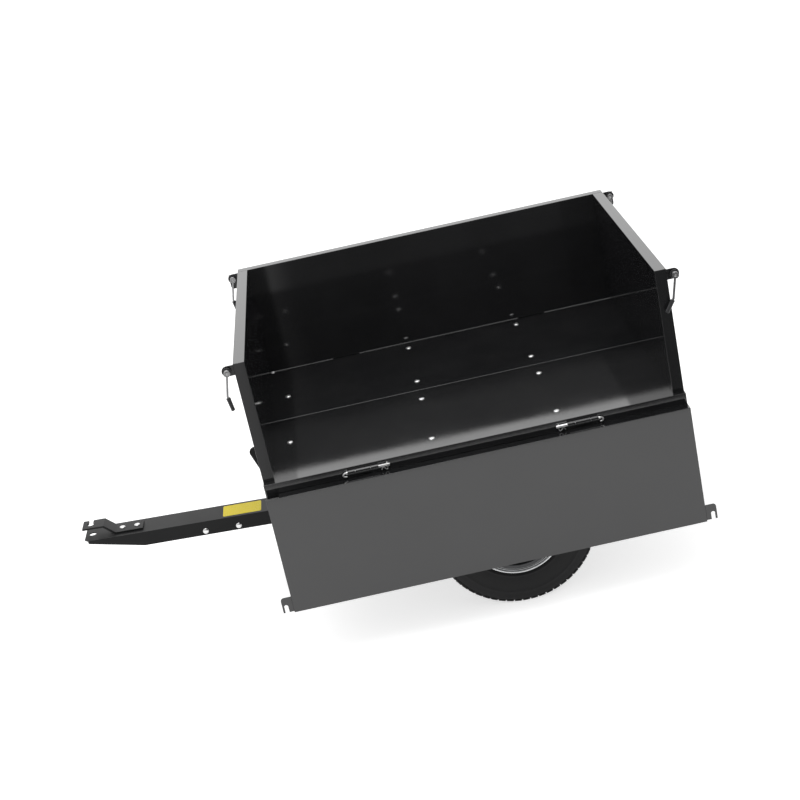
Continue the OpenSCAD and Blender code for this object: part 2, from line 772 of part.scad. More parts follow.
// Two cheeks and a bar, welded to the front of the stand
module latch_striker() {
  color(zinc) in_tub() {
    box([stand_face - stand_t, -cheek_y - cheek_t, striker_z - 16],
      [stand_face, cheek_y + cheek_t, striker_z + 16]);
    for (s = [-1, 1]) side_plate(s * (cheek_y + cheek_t / 2) - cheek_t / 2,
      s * (cheek_y + cheek_t / 2) + cheek_t / 2) {
      translate([striker_x, striker_z]) circle(r = striker_r + 2);
      translate([striker_x, striker_z - striker_r - 2])
        square([stand_face - striker_x - stand_t / 2, 2 * striker_r + 4]);
    }
    rod_y(striker_r, striker_x, striker_z, -cheek_y - cheek_t / 2, cheek_y + cheek_t / 2);
  }
}

// Hinge brackets: a plate on the floor edge and the middle knuckle
module hinge_brackets() {
  color(coat) in_tub() for (s = [-1, 1]) for (x = hinge_xs) at_hinge(s, x) {
    difference() {
      union() {
        mirror([0, s > 0 ? 1 : 0, 0]) box([-hinge_len / 2, knuckle_r - bracket_t, hinge_drop - edge_h + 3],
          [hinge_len / 2, knuckle_r, -knuckle_r]);
        mirror([0, s > 0 ? 1 : 0, 0]) box([-knuckle_mid / 2, knuckle_r - bracket_t, -knuckle_r - cut],
          [knuckle_mid / 2, knuckle_r, 0]);
        rod_x(knuckle_r, -knuckle_mid / 2, knuckle_mid / 2);
      }
      rod_x(hinge_pin_r + run_gap, -hinge_len, hinge_len);
    }
  }
}

// Hinge pins: a loop at the end nearest the tub's corner, and a cross hole at the other end
module hinge_pins() {
  reach = hinge_len / 2 + pin_out;
  color(zinc) in_tub() for (s = [-1, 1]) for (i = [0, 1]) at_hinge(s, hinge_xs[i])
    mirror([i, 0, 0]) {
      difference() {
        rod_x(hinge_pin_r, -hinge_len / 2 - 4, reach);
        translate([reach - 6, 0, -2 * hinge_pin_r]) cylinder(r = 1.5, h = 4 * hinge_pin_r);
      }
      translate([-hinge_len / 2 - 2 - loop_r, 0, 0]) rotate([90, 0, 0]) rotate_extrude()
        translate([loop_r, 0]) circle(r = 2.2);
    }
}

// Spring clips: a straight leg through the pin and a bent leg round its end
module hinge_clips() {
  wire_r = 1.2;
  leg_x = hinge_len / 2 + pin_out - 6;
  bow_r = 4.5;
  color(zinc) in_tub() for (s = [-1, 1]) for (i = [0, 1]) at_hinge(s, hinge_xs[i])
    mirror([i, 0, 0]) {
      translate([leg_x, 0, -9]) cylinder(r = wire_r, h = 14);
      translate([leg_x + bow_r, 0, 5]) rotate([90, 0, 0]) rotate_extrude(angle = 180)
        translate([bow_r, 0]) circle(r = wire_r);
      translate([leg_x + 2 * bow_r, 0, -8]) cylinder(r = wire_r, h = 13);
    }
}

// Rings between the latch heads and the ears
module latch_rings() {
  color(plastic) in_tub() for (x = [pin_front_x, pin_rear_x]) {
    difference() {
      rod_y(latch_ring_r, x, pin_z, -ring_y_near - ring_t, -ring_y_near);
      rod_y(latch_r + run_gap, x, pin_z, -ring_y_near - 2 * ring_t, -ring_y_near + ring_t);
    }
    difference() {
      rod_y(latch_ring_r, x, pin_z, ring_y_far - ring_t, ring_y_far);
      rod_y(latch_r + run_gap, x, pin_z, ring_y_far - 2 * ring_t, ring_y_far + ring_t);
    }
  }
}

// A side panel as it stands when closed on the far side
module panel() {
  low = panel_lift;
  y0 = panel_y;
  y1 = panel_y + rim_w;
  box([0, y0, low], [tub_len, y0 + sheet_t, wall_h]);
  box([hem_notch, y0, low], [tub_len, y1, low + sheet_t]);
  box([0, y0, wall_h - sheet_t], [tub_len, y1, wall_h]);
  for (x = [0, tub_len - sheet_t]) box([x, y0, low + (x == 0 ? hem_notch / 2 : 0)], [x + sheet_t, y1, wall_h]);
}

// The two leaves that carry a panel on its outer knuckles
module hinge_leaves() {
  top = panel_lift + hinge_drop;
  mid = knuckle_mid / 2 + knuckle_gap;
  web_y = 0.5;
  difference() {
    for (x = hinge_xs) at_hinge(1, x) {
      for (m = [0, 1]) mirror([m, 0, 0]) {
        rod_x(knuckle_r, mid, mid + knuckle_side);
        box([mid, web_y, 0], [mid + knuckle_side, web_y + leaf_t, top]);
      }
      box([-hinge_len / 2, panel_y - hinge_y + 3, top - leaf_t], [hinge_len / 2, web_y + leaf_t, top]);
    }
    for (x = hinge_xs) at_hinge(1, x) rod_x(hinge_pin_r + run_gap, -hinge_len, hinge_len);
  }
}

// The two J-shaped hooks at the free corners of a panel
module hooks() {
  slot_low = pin_z - hook_slot / 2;
  hook_low = wall_h - 4 - hook_h;
  for (m = [0, 1]) translate([m * tub_len, 0, 0]) mirror([m, 0, 0])
    side_plate(panel_y, panel_y + hook_t) difference() {
      union() {
        translate([-hook_out, hook_low + 8]) square([hook_out, hook_h - 8]);
        translate([-hook_out + 8, hook_low]) square([hook_out - 8, 9]);
        translate([-hook_out + 8, hook_low + 8]) circle(r = 8);
      }
      translate([pin_front_x, slot_low]) circle(r = hook_slot / 2);
      translate([pin_front_x - hook_slot / 2, slot_low]) square([hook_slot, hook_h]);
    }
}

// The near panel hangs open, turned by half a turn about its hinge
module hang_open() {
  mirror([0, 1, 0]) translate([0, 2 * hinge_y, -2 * hinge_drop]) rotate([180, 0, 0]) children();
}

module near_panel() {
  color(coat) in_tub() hang_open() panel();
}

module near_hinge_leaves() {
  color(coat) in_tub() hang_open() hinge_leaves();
}

module near_hooks() {
  color(coat) in_tub() hang_open() hooks();
}

module far_panel() {
  color(coat) in_tub() panel();
}

module far_hinge_leaves() {
  color(coat) in_tub() hinge_leaves();
}

module far_hooks() {
  color(coat) in_tub() hooks();
}

// Wheels, drawn about the axle on the far side with the outer face towards +Y
module on_wheel(side) {
  in_tub() mirror([0, side < 0 ? 1 : 0, 0]) translate([axle_x, wheel_y, -axle_drop])
    rotate([-90, 0, 0]) children();
}

// Casing of a tyre: a C-shaped ring that sits in the rim's bead seats
module tyre(side) {
  bead_half = rim_body_w / 2 - rim_t - 2 - safe;
  r0 = bead_r + safe;
  r1 = lip_r + 1.5;
  rs = (tyre_r + r1) / 2;
  half = tyre_w / 2;
  outer = [[r0, bead_half], [r1 - 4, bead_half], [r1, half - 6], [rs, half],
    [tyre_r - 16, half - 1], [tyre_r - 5, half - 7], [tyre_r, half - 22]];
  inner = [[tyre_r - tyre_wall - 3, half - 24], [tyre_r - tyre_wall - 12, half - tyre_wall - 4],
    [rs, half - tyre_wall], [r1 + 2, half - tyre_wall - 5], [r0 + 10, bead_half - tyre_wall],
    [r0, bead_half - tyre_wall - 3]];
  color(rubber) on_wheel(side) rotate_extrude($fn = 96) polygon(concat(
    outer, [for (i = [len(outer) - 1:-1:0]) [outer[i][0], -outer[i][1]]],
    [for (p = [for (i = [len(inner) - 1:-1:0]) inner[i]]) [p[0], -p[1]]],
    inner));
}

// Rim: a barrel with two lips and a disc round the hub
module rim(side) {
  half = rim_body_w / 2;
  lip_in = half - rim_t - 2;
  edge = [[bead_r, lip_in], [lip_r - 5, lip_in + 1], [lip_r, half - 1], [lip_r - 2, half],
    [lip_r - 8, half - 1], [bead_r - rim_t, lip_in + rim_t]];
  color(rim_paint) on_wheel(side) difference() {
    union() {
      rotate_extrude($fn = 96) polygon(concat(edge,
        [for (i = [len(edge) - 1:-1:0]) [edge[i][0], -edge[i][1]]]));
      translate([0, 0, disc_offset]) cylinder(r = bead_r - rim_t / 2, h = rim_t);
    }
    translate([0, 0, -half]) cylinder(r = hub_r + snug, h = 2 * half);
    rotate([0, 90, 0]) cylinder(r = valve_r + hole_gap, h = 2 * bead_r);
  }
}

module hub(side) {
  color(zinc) on_wheel(side) difference() {
    translate([0, 0, -hub_len / 2]) cylinder(r = hub_r, h = hub_len);
    translate([0, 0, -hub_len / 2 - cut]) cylinder(r = bush_r + snug, h = hub_len + 2 * cut);
  }
}

// Flanged bushes in both ends of a hub
module bearings(side) {
  color(plastic) on_wheel(side) for (m = [0, 1]) mirror([0, 0, m]) difference() {
    union() {
      translate([0, 0, hub_len / 2 - bush_len]) cylinder(r = bush_r, h = bush_len);
      translate([0, 0, hub_len / 2]) cylinder(r = hub_r, h = bush_flange_t);
    }
    cylinder(r = axle_r + run_gap, h = hub_len);
  }
}

// Valve stem through the rim's barrel, with its foot inside the tyre
module valve(side) {
  color(rubber) on_wheel(side) rotate([0, 90, 0]) {
    translate([0, 0, bead_r - valve_len]) cylinder(r = valve_r, h = valve_len + 1);
    translate([0, 0, bead_r + 0.4]) cylinder(r = valve_r + 3, h = 3);
  }
}

// Corner latches: the frame of a lever, which hangs from the head by its tilt
module on_latch(x, y, tilt) {
  in_tub() translate([x, y, pin_z]) rotate([0, tilt, 0]) children();
}

// The slotted head that a lever turns in, from y = 0 towards -Y
module latch_head() {
  difference() {
    rod_y(latch_head_r, 0, 0, -latch_head_len, 0);
    box([-lever_w / 2 - 0.2, -latch_head_len - cut, -latch_head_r - cut],
      [lever_w / 2 + 0.2, -flip_depth + eye_r + safe, eye_r + safe]);
  }
  translate([0, -flip_depth, 0]) rod_x(flip_pin_r, -latch_head_r + 1, latch_head_r - 1);
}

module near_latch_pin(x) {
  color(zinc) {
    on_latch(x, -head_y_near, hang_tilt) latch_head();
    in_tub() {
      rod_y(latch_r, x, pin_z, -head_y_near - 1, -tub_half + ear_t + safe + knob_len / 2);
      rod_y(knob_r, x, pin_z, -tub_half + ear_t + safe, -tub_half + ear_t + safe + knob_len);
    }
  }
}

// The far latch pins end in a narrow head that passes through a hook's slot
module far_latch_pin(x, tilt) {
  tee_y = hook_outer_y + safe;
  color(zinc) {
    on_latch(x, head_y_far, tilt) latch_head();
    in_tub() {
      rod_y(latch_r, x, pin_z, head_y_far - 1, tee_y + tee_t / 2);
      side_plate(tee_y, tee_y + tee_t) translate([x, pin_z]) {
        for (s = [-1, 1]) translate([0, s * (tee_h / 2 - latch_r)]) circle(r = latch_r);
        square([2 * latch_r, tee_h - 2 * latch_r], center = true);
      }
    }
  }
}

// A flat lever whose outline bends once; its eye turns on the pin in the latch head
module lever(x, y, tilt, bend) {
  w = lever_w / 2;
  mitre = w * tan(bend / 2);
  end_x = -tang_len * sin(bend);
  end_z = -lever_len - tang_len * cos(bend);
  color(zinc) on_latch(x, y, tilt) translate([0, -flip_depth, 0]) difference() {
    union() {
      rod_x(eye_r, -w, w);
      side_plate(-lever_t / 2, lever_t / 2) polygon([[-w, 0], [w, 0], [w, -lever_len - mitre],
        [end_x + w * cos(bend), end_z - w * sin(bend)], [end_x - w * cos(bend), end_z + w * sin(bend)],
        [-w, -lever_len + mitre]]);
    }
    rod_x(flip_pin_r + snug, -lever_w, lever_w);
  }
}

module grip(x, y, tilt, bend) {
  gap = snug;
  color(plastic) on_latch(x, y, tilt) translate([0, -flip_depth, -lever_len]) rotate([0, bend, 0])
    difference() {
      translate([0, 0, -grip_len - 4]) cylinder(r1 = grip_r * 0.75, r2 = grip_r, h = grip_len);
      box([-lever_w / 2 - gap, -lever_t / 2 - gap, -tang_len - gap], [lever_w / 2 + gap, lever_t / 2 + gap, 0]);
    }
}

module latch_pin_near_front() near_latch_pin(pin_front_x);
module latch_pin_near_rear() near_latch_pin(pin_rear_x);
module latch_pin_far_front() far_latch_pin(pin_front_x, hang_tilt);
module latch_pin_far_rear() far_latch_pin(pin_rear_x, lean_tilt);
module latch_lever_near_front() lever(pin_front_x, -head_y_near, hang_tilt, -lever_bend);
module latch_lever_near_rear() lever(pin_rear_x, -head_y_near, hang_tilt, lever_bend);
module latch_lever_far_front() lever(pin_front_x, head_y_far, hang_tilt, -lever_bend);
module latch_lever_far_rear() lever(pin_rear_x, head_y_far, lean_tilt, lever_bend);
module latch_grip_near_front() grip(pin_front_x, -head_y_near, hang_tilt, -lever_bend);
module latch_grip_near_rear() grip(pin_rear_x, -head_y_near, hang_tilt, lever_bend);
module latch_grip_far_front() grip(pin_front_x, head_y_far, hang_tilt, -lever_bend);
module latch_grip_far_rear() grip(pin_rear_x, head_y_far, lean_tilt, lever_bend);

drawbar_front();
drawbar_rear();
drawbar_bolts();
drawbar_nuts();
hitch_strap();
hitch_bolts();
pivot_tube();
latch_bracket();
handle_pivot_bolt();
release_handle();
floor_near();
floor_far();
front_wall();
rear_wall();
latch_ears();
floor_bolts();
floor_nuts();
wall_bolts();
cross_rail_front();
cross_rail_rear();
axle_leg_near();
axle_leg_far();
leg_bolts();
axle();
axle_washers();
cotter_pins();
front_stand();
latch_striker();
hinge_brackets();
hinge_pins();
hinge_clips();
latch_rings();
near_panel();
near_hinge_leaves();
near_hooks();
far_panel();
far_hinge_leaves();
far_hooks();
tyre(-1);  // tyre_near
rim(-1);  // rim_near
hub(-1);  // hub_near
bearings(-1);  // bearings_near
valve(-1);  // valve_near
tyre(1);  // tyre_far
rim(1);  // rim_far
hub(1);  // hub_far
bearings(1);  // bearings_far
valve(1);  // valve_far
latch_pin_near_front();
latch_lever_near_front();
latch_grip_near_front();
latch_pin_near_rear();
latch_lever_near_rear();
latch_grip_near_rear();
latch_pin_far_front();
latch_lever_far_front();
latch_grip_far_front();
latch_pin_far_rear();
latch_lever_far_rear();
latch_grip_far_rear();
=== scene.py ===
import json
import math

import bmesh
import bpy
from mathutils import Matrix, Vector


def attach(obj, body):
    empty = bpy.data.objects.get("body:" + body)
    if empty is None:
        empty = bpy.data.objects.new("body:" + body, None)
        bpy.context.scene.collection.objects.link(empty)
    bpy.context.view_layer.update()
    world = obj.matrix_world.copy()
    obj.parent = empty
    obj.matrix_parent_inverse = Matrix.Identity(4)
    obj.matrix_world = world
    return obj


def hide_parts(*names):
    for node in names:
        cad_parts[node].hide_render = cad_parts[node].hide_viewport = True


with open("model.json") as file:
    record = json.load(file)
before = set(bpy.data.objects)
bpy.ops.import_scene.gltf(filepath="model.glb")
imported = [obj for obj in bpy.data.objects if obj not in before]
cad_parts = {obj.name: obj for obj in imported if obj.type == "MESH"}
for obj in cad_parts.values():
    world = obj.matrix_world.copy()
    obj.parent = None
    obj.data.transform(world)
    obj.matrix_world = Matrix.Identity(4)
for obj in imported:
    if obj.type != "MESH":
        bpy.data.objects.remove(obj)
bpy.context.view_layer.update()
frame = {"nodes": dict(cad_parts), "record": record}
scene = bpy.context.scene
record = frame["record"]
bodyOf = {node: body for body, nodes in record["behaviour"]["bodies"].items() for node in nodes}
slotOf = {part["node"]: part["material_slot"] for part in record["subparts"]}
print("frame loaded:", len(frame["nodes"]), "nodes")

mm = 0.001
rise = math.radians(3)                      # upward slope of the drawbar towards the hitch
tubFrame = Matrix.Translation((0.520439, 0, 0.204196))      # front of the tub at floor height
axleSpot = Vector((582, 0, -282)) * mm      # seen from the tub's frame
barFrame = tubFrame @ Matrix.Translation(axleSpot) @ Matrix.Rotation(rise, 4, "Y")
floorLevel = -0.2818                        # underside of the tyres

# Places in millimetres: along, across and above the tub's frame, and the same in the drawbar's frame
tub = {
    "length": 1050, "rails": (425, 740), "railBolts": (-341, -67, 67, 341),
    "standX": 70, "standBolts": (-166, 166), "wallInset": 13, "wallBolts": (-300, -120, 120, 300),
    "wallFoot": 2, "legBolts": (-224.5, 224.5), "legFoot": -37,
    "hinges": (245, 791), "hingeY": 410.5, "hingeZ": -12, "latchOut": 17, "latchZ": 300,
}
bar = {
    "half": 42.5, "crossBolts": (-799.73, -709.73), "crossZ": -8.5, "strapBolts": (-1023, -983),
    "strapTop": 25,
}


# Camera, fitted to the photograph
cameraSetup = {
    "place": (0.8887, -3.9914, 1.7528),
    "turn": (68.127, 11.555, -4.607),
    "lens": 72.44,
}


def makeCamera(setup):
    data = bpy.data.cameras.new("studioCamera")
    data.lens = setup["lens"]
    data.sensor_width = 36
    camera = bpy.data.objects.new("studioCamera", data)
    camera.location = setup["place"]
    camera.rotation_euler = [math.radians(angle) for angle in setup["turn"]]
    scene.collection.objects.link(camera)
    scene.camera = camera


makeCamera(cameraSetup)
scene.view_settings.view_transform = "Standard"
print("camera ready")


# Node helpers
def addNode(tree, kind, inputs=None, props=None):
    node = tree.nodes.new(kind)
    for name, value in (props or {}).items():
        setattr(node, name, value)
    for name, value in (inputs or {}).items():
        if isinstance(value, bpy.types.NodeSocket):
            tree.links.new(value, node.inputs[name])
        else:
            node.inputs[name].default_value = value
    return node


def calc(tree, operation, *values):
    node = addNode(tree, "ShaderNodeMath", dict(enumerate(values)), {"operation": operation})
    return node.outputs[0]


def objectSpot(tree):
    return tree.nodes.new("ShaderNodeTexCoord").outputs["Object"]


def remap(tree, value, low, high, newLow, newHigh):
    return addNode(tree, "ShaderNodeMapRange", {"Value": value, "From Min": low, "From Max": high,
                   "To Min": newLow, "To Max": newHigh}).outputs["Result"]


def noise(tree, vector, scale, detail=3.0, rough=0.55):
    return addNode(tree, "ShaderNodeTexNoise", {"Vector": vector, "Scale": scale, "Detail": detail,
                   "Roughness": rough}).outputs["Fac"]


def mixColour(tree, factor, first, second):
    node = addNode(tree, "ShaderNodeMix", props={"data_type": "RGBA"})
    for spot, value in ((0, factor), (6, first), (7, second)):
        if isinstance(value, bpy.types.NodeSocket):
            tree.links.new(value, node.inputs[spot])
        elif spot:
            node.inputs[spot].default_value = (*value, 1)
        else:
            node.inputs[spot].default_value = value
    return node.outputs[2]


def startGroup(name, inputs, outputs):
    tree = bpy.data.node_groups.new(name, "ShaderNodeTree")
    for label, value in inputs.items():
        socket = tree.interface.new_socket(name=label, in_out="INPUT", socket_type="NodeSocketFloat")
        socket.default_value = value
    for label in outputs:
        tree.interface.new_socket(name=label, in_out="OUTPUT", socket_type="NodeSocketFloat")
    return tree, tree.nodes.new("NodeGroupInput").outputs, tree.nodes.new("NodeGroupOutput").inputs


# Light: a pale world, three boxes, a floor for the shadow and a card for the reflections
lightSetup = {
    "worldFill": 0.72,
    "overhead": {"place": (0.6, -0.6, 3.4), "aim": (1.0, 0.0, 0.2), "size": (2.6, 2.0), "power": 45},
    "front": {"place": (-1.2, -4.6, 1.2), "aim": (0.9, 0.0, 0.2), "size": (3.0, 2.0), "power": 14},
    "back": {"place": (1.2, 4.8, 2.0), "aim": (1.1, 0.0, 0.3), "size": (6.5, 2.6), "power": 24},
    "floor": {"reach": 30, "shade": 0.82, "shown": 0.6, "mirrored": 0.45},
    "card": {"place": (1.0, -1.3, 0.427), "half": (2.6, 0.624), "from": 0.45, "to": 0.58,
             "left": 0.5, "right": 0.08},
}


def seenRays(tree):
    path = tree.nodes.new("ShaderNodeLightPath").outputs
    mirror = calc(tree, "MAXIMUM", path["Is Glossy Ray"], path["Is Transmission Ray"])
    return calc(tree, "MAXIMUM", path["Is Camera Ray"], mirror)


def makeWorld(fill):
    world = bpy.data.worlds.new("paleStudio")
    world.use_nodes = True
    tree = world.node_tree
    tree.nodes.clear()
    lit = addNode(tree, "ShaderNodeBackground", {"Color": (1, 1, 1, 1), "Strength": fill})
    shown = addNode(tree, "ShaderNodeBackground", {"Color": (1, 1, 1, 1), "Strength": 1.0})
    mixed = addNode(tree, "ShaderNodeMixShader",
                    {0: seenRays(tree), 1: lit.outputs[0], 2: shown.outputs[0]})
    addNode(tree, "ShaderNodeOutputWorld", {"Surface": mixed.outputs[0]})
    scene.world = world


def makeLamp(name, setup):
    data = bpy.data.lights.new(name, "AREA")
    data.shape = "RECTANGLE"
    data.size, data.size_y = setup["size"]
    data.energy = setup["power"]
    lamp = bpy.data.objects.new(name, data)
    lamp.location = setup["place"]
    aim = Vector(setup["aim"]) - Vector(setup["place"])
    lamp.rotation_euler = aim.to_track_quat("-Z", "Y").to_euler()
    scene.collection.objects.link(lamp)


def bareMaterial(name):
    material = bpy.data.materials.new(name)
    material.use_nodes = True
    material.node_tree.nodes.clear()
    return material, material.node_tree


def stagePlate(name, corners, material):
    mesh = bpy.data.meshes.new(name)
    mesh.from_pydata(corners, [], [(0, 1, 2, 3)])
    mesh.materials.append(material)
    plate = bpy.data.objects.new(name, mesh)
    scene.collection.objects.link(plate)
    return plate


# The floor keeps the shadow and is lifted towards white where it is seen
def makeFloor(level, setup):
    material, tree = bareMaterial("paleFloor")
    shade = setup["shade"]
    matt = addNode(tree, "ShaderNodeBsdfDiffuse", {"Color": (shade, shade, shade, 1)})
    path = tree.nodes.new("ShaderNodeLightPath").outputs
    lift = calc(tree, "MAXIMUM", calc(tree, "MULTIPLY", seenRays(tree), setup["mirrored"]),
                calc(tree, "MULTIPLY", path["Is Camera Ray"], setup["shown"]))
    glow = addNode(tree, "ShaderNodeEmission", {"Color": (1, 1, 1, 1), "Strength": lift})
    both = addNode(tree, "ShaderNodeAddShader", {0: matt.outputs[0], 1: glow.outputs[0]})
    addNode(tree, "ShaderNodeOutputMaterial", {"Surface": both.outputs[0]})
    reach = setup["reach"]
    stagePlate("studioFloor", [(-reach, -reach, level), (reach, -reach, level), (reach, reach, level),
                               (-reach, reach, level)], material)


# A dark card in front of the cart that only its glossy paint sees
def makeCard(setup):
    material, tree = bareMaterial("darkCard")
    across = addNode(tree, "ShaderNodeSeparateXYZ", {"Vector": objectSpot(tree)}).outputs["X"]
    strength = remap(tree, across, setup["from"], setup["to"], setup["left"], setup["right"])
    glow = addNode(tree, "ShaderNodeEmission", {"Strength": strength})
    addNode(tree, "ShaderNodeOutputMaterial", {"Surface": glow.outputs[0]})
    x, y, z = setup["place"]
    wide, high = setup["half"]
    card = stagePlate("studioCard", [(x - wide, y, z - high), (x + wide, y, z - high),
                                     (x + wide, y, z + high), (x - wide, y, z + high)], material)
    card.visible_camera = card.visible_diffuse = card.visible_shadow = card.visible_transmission = False


makeWorld(lightSetup["worldFill"])
for lampName in ("overhead", "front", "back"):
    makeLamp(lampName + "Box", lightSetup[lampName])
makeFloor(floorLevel, lightSetup["floor"])
makeCard(lightSetup["card"])
print("studio ready")


# Effects that the materials share
def makePatchGroup():
    tree, given, out = startGroup("patches", {"Scale": 6.0, "Low": 0.35, "High": 0.65}, ["Mask"])
    spot = objectSpot(tree)
    value = noise(tree, spot, given["Scale"], 4.0, 0.6)
    tree.links.new(remap(tree, value, given["Low"], given["High"], 0.0, 1.0), out["Mask"])
    return tree


def makeGrainGroup():
    tree, given, out = startGroup("grain", {"Scale": 700.0, "Speck": 0.35}, ["Height"])
    spot = objectSpot(tree)
    soft = noise(tree, spot, given["Scale"], 2.0, 0.5)
    cells = addNode(tree, "ShaderNodeTexVoronoi", {"Vector": spot, "Scale": given["Scale"]})
    speck = calc(tree, "MULTIPLY", cells.outputs["Distance"], given["Speck"])
    tree.links.new(calc(tree, "ADD", soft, speck), out["Height"])
    return tree


def makeDustGroup():
    tree, given, out = startGroup("dust", {"Amount": 0.1}, ["Mask"])
    spot = objectSpot(tree)
    normal = tree.nodes.new("ShaderNodeNewGeometry").outputs["Normal"]
    up = addNode(tree, "ShaderNodeSeparateXYZ", {"Vector": normal}).outputs["Z"]
    lying = remap(tree, up, 0.2, 1.0, 0.15, 1.0)
    cloud = remap(tree, noise(tree, spot, 9.0, 5.0, 0.65), 0.42, 0.75, 0.0, 1.0)
    fine = remap(tree, noise(tree, spot, 420.0, 2.0), 0.45, 0.7, 0.2, 1.0)
    mask = calc(tree, "MULTIPLY", calc(tree, "MULTIPLY", lying, cloud), fine)
    tree.links.new(calc(tree, "MULTIPLY", mask, given["Amount"]), out["Mask"])
    return tree


# Edge wear and painted edge highlight: a mask along rounded edges where a lighter colour is laid, standing
# for rubbed paint and for light caught on the edges
def makeWearAndHighlightGroup():
    tree, given, out = startGroup("edgeWear", {"Radius": 0.0012, "Amount": 0.5}, ["Mask"])
    spot = objectSpot(tree)
    flat = tree.nodes.new("ShaderNodeNewGeometry").outputs["Normal"]
    rounded = addNode(tree, "ShaderNodeBevel", {"Radius": given["Radius"]}, {"samples": 4}).outputs[0]
    dot = addNode(tree, "ShaderNodeVectorMath", {0: flat, 1: rounded}, {"operation": "DOT_PRODUCT"})
    edge = remap(tree, dot.outputs["Value"], 0.98, 0.8, 0.0, 1.0)
    rub = remap(tree, noise(tree, spot, 60.0, 4.0, 0.7), 0.4, 0.65, 0.25, 1.0)
    tree.links.new(calc(tree, "MULTIPLY", calc(tree, "MULTIPLY", edge, rub), given["Amount"]), out["Mask"])
    return tree


def makeBrushGroup():
    tree, given, out = startGroup("brushed", {"Scale": 260.0, "Stretch": 0.08}, ["Height", "Tint"])
    spot = objectSpot(tree)
    size = addNode(tree, "ShaderNodeCombineXYZ", {"X": given["Stretch"], "Y": 1.0, "Z": 1.0})
    drawn = addNode(tree, "ShaderNodeVectorMath", {0: spot, 1: size.outputs[0]}, {"operation": "MULTIPLY"})
    tree.links.new(noise(tree, drawn.outputs[0], given["Scale"], 4.0, 0.7), out["Height"])
    tree.links.new(remap(tree, noise(tree, spot, 45.0, 3.0), 0.35, 0.65, 0.0, 1.0), out["Tint"])
    return tree


patchGroup = makePatchGroup()
grainGroup = makeGrainGroup()
dustGroup = makeDustGroup()
wearAndHighlightGroup = makeWearAndHighlightGroup()
brushGroup = makeBrushGroup()


def useGroup(tree, group, inputs):
    node = tree.nodes.new("ShaderNodeGroup")
    node.node_tree = group
    for name, value in inputs.items():
        node.inputs[name].default_value = value
    return node.outputs


def startMaterial(name, look):
    material = bpy.data.materials.new(name)
    material.use_nodes = True
    tree = material.node_tree
    shader = tree.nodes["Principled BSDF"]
    shader.inputs["Metallic"].default_value = look.get("metal", 0.0)
    shader.inputs["IOR"].default_value = look.get("ior", 1.5)
    return material, tree, shader


def finishMaterial(tree, shader, colour, rough, height, look):
    tree.links.new(colour, shader.inputs["Base Color"])
    tree.links.new(rough, shader.inputs["Roughness"])
    bump = addNode(tree, "ShaderNodeBump", {"Height": height, "Strength": look["bump"],
                   "Distance": look["depth"]})
    tree.links.new(bump.outputs["Normal"], shader.inputs["Normal"])


def coatMaterial(name, look):
    material, tree, shader = startMaterial(name, look)
    patches = useGroup(tree, patchGroup, {"Scale": look["patchScale"]})["Mask"]
    grain = useGroup(tree, grainGroup, {"Scale": look["grainScale"], "Speck": look["speck"]})["Height"]
    dust = useGroup(tree, dustGroup, {"Amount": look["dust"]})["Mask"]
    wearAndHighlight = useGroup(tree, wearAndHighlightGroup, {"Radius": look["wearAndHighlightRadius"], "Amount": look["wearAndHighlight"]})["Mask"]
    colour = mixColour(tree, patches, look["dark"], look["light"])
    # Lighter colour on the edges: wear, and a painted edge highlight
    colour = mixColour(tree, wearAndHighlight, colour, look["wearAndHighlightColour"])
    colour = mixColour(tree, dust, colour, look["dustColour"])
    rough = remap(tree, patches, 0.0, 1.0, look["rough"][0], look["rough"][1])
    rough = calc(tree, "ADD", rough, calc(tree, "MULTIPLY", dust, 0.5))
    finishMaterial(tree, shader, colour, rough, grain, look)
    return material


def metalMaterial(name, look):
    material, tree, shader = startMaterial(name, look)
    brushed = useGroup(tree, brushGroup, {"Scale": look["brushScale"], "Stretch": look["stretch"]})
    patches = useGroup(tree, patchGroup, {"Scale": look["patchScale"]})["Mask"]
    colour = mixColour(tree, brushed["Tint"], look["dark"], look["light"])
    rough = remap(tree, patches, 0.0, 1.0, look["rough"][0], look["rough"][1])
    finishMaterial(tree, shader, colour, rough, brushed["Height"], look)
    return material


# Painted shade on the rim: bright on its lip and painted darker inside it, with two thin painted highlight
# rings in place of stamped steps catching light
def paintShadeOnRim(material, setup):
    tree = material.node_tree
    shader = tree.nodes["Principled BSDF"]
    colour = shader.inputs["Base Color"].links[0].from_socket
    spot = objectSpot(tree)
    flat = addNode(tree, "ShaderNodeVectorMath", {0: spot, 1: (1, 0, 1)}, {"operation": "MULTIPLY"})
    reach = addNode(tree, "ShaderNodeVectorMath", {0: flat.outputs[0], 1: setup["axle"]},
                    {"operation": "DISTANCE"}).outputs["Value"]
    # painted shade: the colour goes dark inside the lip
    shade = remap(tree, reach, setup["lip"] - 0.0006, setup["lip"] + 0.0002, 1.0, 0.0)
    # two thin painted highlight rings, lighter, within the painted shade
    for radius in setup["rings"]:
        off = calc(tree, "ABSOLUTE", calc(tree, "SUBTRACT", reach, radius))
        shade = calc(tree, "MINIMUM", shade, remap(tree, off, 0.0005, 0.0009, setup["ringShade"], 1.0))
    tree.links.new(mixColour(tree, shade, colour, setup["dark"]), shader.inputs["Base Color"])
